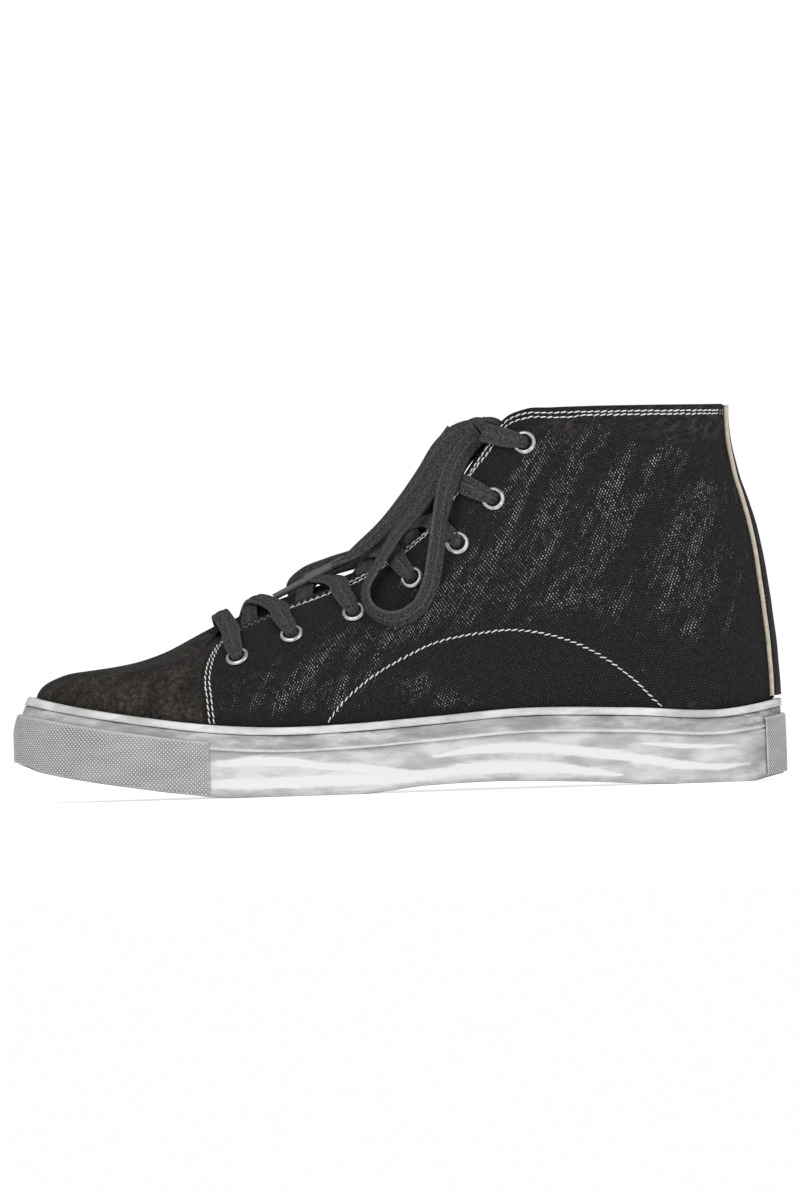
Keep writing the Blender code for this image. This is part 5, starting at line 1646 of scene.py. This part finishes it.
@dataclass
class Lacing:
    """Eyelets and the lace through them."""

    upper: Upper
    rows: tuple = (
        (0.7060, 0.3712), (0.6350, 0.4271), (0.5540, 0.4802), (0.4777, 0.5647),
        (0.4180, 0.6533), (0.3697, 0.7663), (0.3270, 0.9121),
    )
    arches: tuple = (0.0060, 0.0055, 0.0035, 0.0025, 0.0022, 0.0018, 0.0005)
    hole: float = 0.00275
    flange: float = 0.0046
    eyelet_height: float = 0.0007
    half_width: float = 0.0038
    half_depth: float = 0.00105
    ring_points: int = 48
    edge_lift: float = 0.0020
    rise: float = 0.33
    slant: float = 0.15
    throat_station: float = 0.562
    spots: dict = field(default_factory=dict)
    edges: dict = field(default_factory=dict)

    def locate(self, x: float, z: float, side: Side) -> tuple[float, float]:
        """Angle and level of the upper's surface at a place seen from the side."""
        angle, level = np.meshgrid(np.linspace(0.25, 0.95, 281), np.linspace(1, TOP_LEVEL, 181),
                                   indexing="ij")
        if side is Side.INNER:
            angle = 2 - angle
        net = LAST.upper_point(angle, level)
        nearest = np.argmin((net[..., 0] - x) ** 2 + (net[..., 2] - z) ** 2)
        a, b = float(angle.ravel()[nearest]), float(level.ravel()[nearest])
        for _ in range(6):
            here = LAST.upper_point(a, b)
            by_a = (LAST.upper_point(a + 0.001, b) - here) / 0.001
            by_b = (LAST.upper_point(a, b - 0.01) - here) / -0.01
            spread = by_a[0] * by_b[2] - by_a[2] * by_b[0]
            dx, dz = x - here[0], z - here[2]
            a += (dx * by_b[2] - dz * by_b[0]) / spread
            b += (by_a[0] * dz - by_a[2] * dx) / spread
            b = min(TOP_LEVEL, b)
        return a, b

    def find_spots(self) -> None:
        """Eyelet places, and the throat edge nearest to each."""
        highest = angle_of(self.throat_station)
        for side in Side:
            rows = []
            for row, (run, height) in enumerate(self.rows, start=1):
                spot = self.locate(LAST.length * (0.5 - run), LAST.height * height, side)
                self.spots[row, side] = spot
                angle = np.linspace(highest, LAST.seam_back, 401)
                if side is Side.INNER:
                    angle = 2 - angle
                miss = np.linalg.norm(LAST.top_point(angle) - LAST.upper_point(*spot), axis=-1)
                rows.append((row, float(angle[np.argmin(miss)])))
            self.edges[side] = Curve(rows)

    def on_upper(self, spot: tuple[float, float], lift: float) -> Points:
        """Point over the upper."""
        return LAST.upper_point(*spot) + LAST.upper_normal(*spot) * lift

    def eyelets(self) -> None:
        """Rolled rings, one for each hole."""
        hole, flange, high = self.hole, self.flange, self.eyelet_height
        profile = np.array([
            (hole + 0.0003, -0.0020), (hole, -0.0012), (hole, -0.0002), (hole + 0.00012, 0.00035),
            (hole + 0.0005, high), (hole + 0.0010, high + 0.00012), (flange - 0.0005, high * 0.72),
            (flange - 0.00012, high * 0.35), (flange, 0.0), (flange - 0.0004, -0.0001),
        ])
        turn = np.linspace(0, 2 * np.pi, self.ring_points, endpoint=False)[:, None]
        reach, up = profile[None, :, 0], profile[None, :, 1]
        ring = np.stack([reach * np.cos(turn), reach * np.sin(turn), up + 0 * turn], axis=-1)
        material = NICKEL.material()
        for (row, side), spot in self.spots.items():
            normal = Vector(LAST.upper_normal(*spot))
            facing = normal.to_track_quat("Z", "Y").to_matrix().to_4x4()
            place = Matrix.Translation(self.on_upper(spot, LAST.gap)) @ facing
            turned = ring @ np.array(place.to_3x3()).T + np.array(place.translation)
            name = f"eyelet_{side.name.lower()}_{row}"
            faces = grid_faces(self.ring_points, len(profile), wrap_columns=True)
            piece = new_piece(f"{name}_dressed", turned, faces, material)
            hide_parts(name)

    def edge_frame(self, row: float, side: Side) -> tuple[Points, Points, Points]:
        """Throat edge beside a row: point, outward direction and direction to the middle."""
        angle = float(self.edges[side].at(row))
        point = LAST.top_point(angle)
        across = LAST.top_point(2 - angle) - point
        return point, LAST.upper_normal(angle, TOP_LEVEL), unit(across)

    def other(self, side: Side) -> Side:
        """Opposite side."""
        return Side.INNER if side is Side.OUTER else Side.OUTER

    def lead(self, row: int, side: Side) -> list[tuple[Points, Points, float, float]]:
        """Places of the lace from the throat edge down into its eyelet."""
        spot = self.spots[row, side]
        edge, normal, _ = self.edge_frame(row - self.slant, side)
        normal = unit(normal * 2 + self.edge_frame(row - self.slant, self.other(side))[1])
        wide, deep = self.half_width, self.half_depth
        places = [(edge + normal * self.edge_lift, normal, wide, deep)]
        centre = LAST.upper_point(*spot)
        between = (edge + centre) / 2
        middle = self.locate(between[0], between[2], side)
        places.append((self.on_upper(middle, 0.0020), LAST.upper_normal(*middle), wide * 0.96, deep))
        out = LAST.upper_normal(*spot)
        back = unit(edge - centre)
        places.append((centre + back * 0.0030 + out * 0.0024, out, wide * 0.80, deep * 1.15))
        places.append((centre + back * 0.0008 + out * 0.0016, unit(out - back * 0.8), 0.0024, deep * 1.5))
        places.append((centre - back * 0.0002 - out * 0.0010, unit(-back + 0.1 * out), 0.0023, deep * 1.6))
        places.append((centre + back * 0.0008 - out * 0.0034, -back, 0.0023, deep * 1.5))
        return places

    def strap(self, name: str, places: list, nodes: tuple[str, ...]) -> bpy.types.Object:
        """Lace through places of point, outward direction, half width and half depth."""
        data = np.array([[*point, *normal, wide, deep] for point, normal, wide, deep in places])
        route = smooth_route(data, 0.0008)
        piece = ribbon(name, route[:, :3], unit(route[:, 3:6]), route[:, 6], route[:, 7],
                       self.material)
        if nodes:
            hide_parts(*nodes)
        return piece

    def arched(self, start: Points, end: Points, outward: Points, row: int) -> list:
        """Places of a slack lace between two points."""
        normal = unit(outward)
        result = []
        for share in (0.25, 0.5, 0.75):
            rise = self.arches[row - 1] * 4 * share * (1 - share)
            result.append((start * (1 - share) + end * share + normal * rise, normal,
                           self.half_width * 0.94, self.half_depth * 1.2))
        return result

    def crossings(self) -> None:
        """Crossing laces, the bar at the lowest row and the straps of the top row."""
        for row in range(2, len(self.rows)):
            for side in Side:
                far, far_normal, inward = self.edge_frame(row - 1 + self.rise, self.other(side))
                lead = self.lead(row, side)
                start = far + inward * 0.0042 + far_normal * 0.0004
                hidden = far - inward * 0.0040 - far_normal * 0.0042
                under = far + inward * 0.0004 - far_normal * 0.0024
                wide, deep = self.half_width, self.half_depth
                lift = 0.0008 if side is Side.OUTER else 0.0
                places = [(hidden, far_normal, wide, deep), (under, far_normal, wide, deep),
                          (start, far_normal, wide, deep)]
                over = [(p + unit(far_normal + lead[0][1]) * lift * (i == 1), n, w, d) for i, (p, n, w, d)
                        in enumerate(self.arched(start, lead[0][0], far_normal + lead[0][1], row))]
                nodes = (f"lace_cross_{row}",) if side is Side.OUTER else ()
                self.strap(f"lace_{row}_to_{side.name.lower()}", places + over + lead, nodes)
        for name, row in (("lace_bar", 1), ("lace_top", len(self.rows))):
            outer, inner = self.lead(row, Side.OUTER), self.lead(row, Side.INNER)
            middle = self.arched(outer[0][0], inner[0][0], outer[0][1] + inner[0][1], row)
            self.strap(f"{name}_dressed", outer[::-1] + middle + inner, (name,))

    def build(self) -> None:
        """Eyelets and crossings."""
        self.material = LACE.material()
        self.find_spots()
        self.eyelets()
        self.crossings()


@dataclass
class Bow:
    """Knot, two loops and two ends of the lace. Rows are x, y, z and a turn in degrees."""

    lacing: Lacing
    half_width: float = 0.0039
    half_depth: float = 0.00110
    aglet_radius: float = 0.0013
    step: float = 0.0012
    taper_start: float = 0.86
    knot_rings: int = 56
    knot_sides: int = 20
    # Wraps of the knot: centre, axis, half length, half height and half width
    wraps: tuple = (
        ((0.0375, -0.0020, 0.1376), (0.93, 0.10, 0.35), 0.0088, 0.0060, 0.0030),
        ((0.0338, -0.0030, 0.1372), (0.80, -0.30, 0.50), 0.0080, 0.0050, 0.0030),
        ((0.0345, 0.0030, 0.1398), (0.55, 0.75, 0.35), 0.0062, 0.0036, 0.0030),
        ((0.0388, -0.0060, 0.1392), (0.30, 0.85, 0.10), 0.0050, 0.0042, 0.0026),
    )
    loops: tuple = (
        ("lace_loop_outer", Side.OUTER, (
            (0.0335, -0.0085, 0.1380, 12), (0.0270, -0.0122, 0.1330, 14), (0.0175, -0.0168, 0.1212, 20),
            (0.0093, -0.0205, 0.1093, 30), (0.0018, -0.0238, 0.1007, 38), (-0.0036, -0.0272, 0.0925, 46),
            (-0.0088, -0.0320, 0.0843, 52), (-0.0114, -0.0362, 0.0780, 55), (-0.0099, -0.0396, 0.0718, 53),
            (-0.0050, -0.0420, 0.0680, 50), (0.0008, -0.0428, 0.0674, 50), (0.0087, -0.0424, 0.0714, 52),
            (0.0138, -0.0416, 0.0807, 52), (0.0163, -0.0414, 0.0923, 50), (0.0180, -0.0405, 0.1039, 60),
            (0.0203, -0.0350, 0.1140, 45), (0.0240, -0.0250, 0.1240, 22), (0.0290, -0.0160, 0.1320, 8),
            (0.0340, -0.0105, 0.1368, 4),
        )),
        ("lace_loop_inner", Side.INNER, (
            (0.0305, 0.0102, 0.1354, 10), (0.0270, 0.0140, 0.1300, 10), (0.0195, 0.0190, 0.1185, 10),
            (0.0105, 0.0225, 0.1065, 15), (-0.0005, 0.0240, 0.0980, 20), (-0.0125, 0.0225, 0.0920, 25),
            (-0.0250, 0.0210, 0.0884, 35), (-0.0340, 0.0225, 0.0853, 45), (-0.0390, 0.0280, 0.0805, 55),
            (-0.0365, 0.0345, 0.0750, 55), (-0.0270, 0.0392, 0.0720, 50), (-0.0140, 0.0400, 0.0760, 50),
            (-0.0020, 0.0390, 0.0825, 50), (0.0080, 0.0370, 0.0910, 50), (0.0155, 0.0345, 0.1015, 45),
            (0.0210, 0.0303, 0.1135, 35), (0.0270, 0.0208, 0.1265, 20), (0.0322, 0.0118, 0.1322, 10),
        )),
    )
    ends: tuple = (
        ("lace_end_outer", "aglet_outer", (
            (0.0330, -0.0035, 0.1402, 0), (0.0262, -0.0052, 0.1390, 0), (0.0200, -0.0062, 0.1340, 2),
            (0.0128, -0.0068, 0.1235, 4), (0.0050, -0.0066, 0.1130, 6), (-0.0040, -0.0060, 0.1026, 8),
            (-0.0128, -0.0052, 0.0950, 14), (-0.0195, -0.0046, 0.0905, 40), (-0.0238, -0.0040, 0.0884, 70),
        ), ((-0.0236, -0.0038, 0.0885), (-0.0345, -0.0022, 0.0832), (-0.0470, 0.0000, 0.0772))),
        ("lace_end_inner", "aglet_inner", (
            (0.0245, 0.0050, 0.1392, 0), (0.0198, 0.0066, 0.1330, 0), (0.0140, 0.0084, 0.1230, 0),
            (0.0065, 0.0100, 0.1120, 5), (-0.0020, 0.0112, 0.1030, 5), (-0.0105, 0.0122, 0.0960, 20),
            (-0.0150, 0.0126, 0.0932, 30),
        ), ((-0.0153, 0.0126, 0.0930), (-0.0350, 0.0145, 0.0840))),
    )

    def turned(self, route: Points, base: Points) -> Points:
        """Flat face direction: the base direction turned about the run by the fourth column."""
        run = unit(np.gradient(route[:, :3], axis=0))
        flat = unit(base - run * np.sum(base * run, axis=1, keepdims=True))
        side = np.cross(run, flat)
        turn = np.radians(route[:, 3:4])
        return flat * np.cos(turn) + side * np.sin(turn)

    def build(self) -> None:
        """Knot, loops and ends, each hiding its imported node."""
        material = self.lacing.material
        self.knot()
        for name, side, rows in self.loops:
            route = smooth_route(rows, self.step)
            base = np.broadcast_to(np.array([-0.25, float(side.value), 0.15]), (len(route), 3))
            piece = ribbon(f"{name}_dressed", route[:, :3], self.turned(route, base), self.half_width,
                           self.half_depth, material)
            self.declare(name)
        for name, tip, rows, tip_rows in self.ends:
            route = smooth_route(rows, self.step)
            base = np.broadcast_to(np.array([-0.5, -0.75, 0.4]), (len(route), 3))
            taper = ramp(np.arange(len(route)) / len(route), self.taper_start, 1.0)
            wide = self.half_width * (1 - 0.62 * taper)
            deep = self.half_depth * (1 + 0.45 * taper)
            piece = ribbon(f"{name}_dressed", route[:, :3], self.turned(route, base), wide, deep,
                           material)
            aglet = round_cord(f"{tip}_dressed", smooth_route(tip_rows, self.step), self.aglet_radius,
                               AGLET.material())
            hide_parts(tip)
            self.declare(name)

    def declare(self, node: str) -> None:
        """Hide the imported node of a free stretch of lace."""
        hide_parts(node)

    def knot(self) -> bpy.types.Object:
        """Wraps of lace pulled tight round each other."""
        parts, faces, cloths = [], [], []
        across, rise = ribbon_section(self.knot_sides)
        place = np.linspace(0, 2 * np.pi, self.knot_rings, endpoint=False)
        for centre, axis, reach, high, wide in self.wraps:
            axis = unit(np.array(axis))
            level = unit(np.cross((0, 0, 1.0), axis))
            up = np.cross(axis, level)
            ring = level * reach * np.cos(place)[:, None] + up * high * np.sin(place)[:, None]
            out = unit(level * np.cos(place)[:, None] / reach + up * np.sin(place)[:, None] / high)
            sway = axis * 0.0008 * np.sin(2 * place + 1)[:, None]
            body = (ring + sway)[:, None] + axis * across[None, :, None] * wide
            body = body + out[:, None] * rise[None, :, None] * self.half_depth
            start = sum(len(part) for part in parts)
            parts.append(body.reshape(-1, 3) + np.array(centre))
            faces += grid_faces(self.knot_rings, self.knot_sides, True, True, start)
            cloth = np.zeros(body.shape)
            cloth[..., 0] = np.arange(self.knot_rings)[:, None] * 0.0007
            cloth[..., 1] = across[None, :] * BRAID_HALF_WIDTH
            cloths.append(cloth.reshape(-1, 3))
        piece = new_piece("lace_knot_dressed", np.concatenate(parts), faces, self.lacing.material,
                          np.concatenate(cloths))
        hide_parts("lace_knot")
        return piece


# Camera and light


@dataclass(frozen=True)
class Studio:
    """Rolled side-on camera, pale floor and soft light."""

    distance: float = 10.0
    view_height: float = 0.4658
    aim: tuple[float, float] = (0.0018, 0.0745)
    roll: float = math.atan2(14, 430)
    sensor: float = 36
    floor_reach: float = 20
    # Lights: name, place, size and power
    lights: tuple = (("key", (-0.9, -1.6, 1.5), 1.2, 20), ("fill", (1.2, -1.3, 0.9), 1.0, 8))

    def camera(self) -> None:
        """Camera that looks along +Y, turned with the photograph."""
        data = bpy.data.cameras.new("camera")
        data.sensor_fit = "VERTICAL"
        data.sensor_height = self.sensor
        data.lens = self.sensor * self.distance / self.view_height
        data.clip_end = 20
        camera = bpy.data.objects.new("camera", data)
        sine, cosine = math.sin(self.roll), math.cos(self.roll)
        turn = Matrix(((cosine, sine, 0), (0, 0, -1), (-sine, cosine, 0)))
        camera.matrix_world = Matrix.Translation((self.aim[0], -self.distance, self.aim[1])) @ turn.to_4x4()
        bpy.context.scene.collection.objects.link(camera)
        bpy.context.scene.camera = camera

    def area(self, name: str, place: tuple, size: float, power: float) -> None:
        """Soft light that looks at the shoe."""
        data = bpy.data.lights.new(name, "AREA")
        data.size = size
        data.energy = power
        light = bpy.data.objects.new(name, data)
        light.location = place
        light.rotation_euler = (Vector((0, 0, 0.07)) - Vector(place)).to_track_quat("-Z", "Y").to_euler()
        bpy.context.scene.collection.objects.link(light)

    def build(self) -> None:
        """Floor, world and lights."""
        mesh = bpy.data.meshes.new("floor")
        reach = self.floor_reach
        corners = [(-reach, -reach, 0), (reach, -reach, 0), (reach, reach, 0), (-reach, reach, 0)]
        mesh.from_pydata(corners, [], [(0, 1, 2, 3)])
        floor = bpy.data.objects.new("floor", mesh)
        material = bpy.data.materials.new("Floor")
        material.use_nodes = True
        shader = material.node_tree.nodes["Principled BSDF"]
        shader.inputs["Base Color"].default_value = (0.8, 0.8, 0.8, 1)
        shader.inputs["Roughness"].default_value = 1.0
        shader.inputs["Specular IOR Level"].default_value = 0.0
        shader.inputs["Emission Color"].default_value = (1, 1, 1, 1)
        shader.inputs["Emission Strength"].default_value = 0.5
        mesh.materials.append(material)
        bpy.context.scene.collection.objects.link(floor)
        world = bpy.data.worlds.new("studio")
        world.use_nodes = True
        s = Shading(world.node_tree)
        backdrop = world.node_tree.nodes["Background"]
        backdrop.inputs["Color"].default_value = (1, 1, 1, 1)
        seen = s.node("LightPath").outputs["Is Camera Ray"]
        s.feed(backdrop.inputs["Strength"], s.span(seen, 0.0, 1.0, 0.62, 1.02))
        bpy.context.scene.world = world
        bpy.context.scene.view_settings.view_transform = "Standard"
        for name, place, size, power in self.lights:
            self.area(name, place, size, power)


def main() -> None:
    logging.basicConfig(level=logging.INFO, format="%(message)s")
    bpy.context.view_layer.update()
    studio = Studio()
    studio.camera()
    upper = Upper()
    upper.build()
    lacing = Lacing(upper)
    lacing.build()
    Bow(lacing).build()
    Stitching(upper).build()
    Cupsole().build()
    SoleTrim().build()
    HeelTrim().build(upper)
    Tongue().build()
    Insole().build()
    studio.build()


if __name__ == "__main__":
    main()
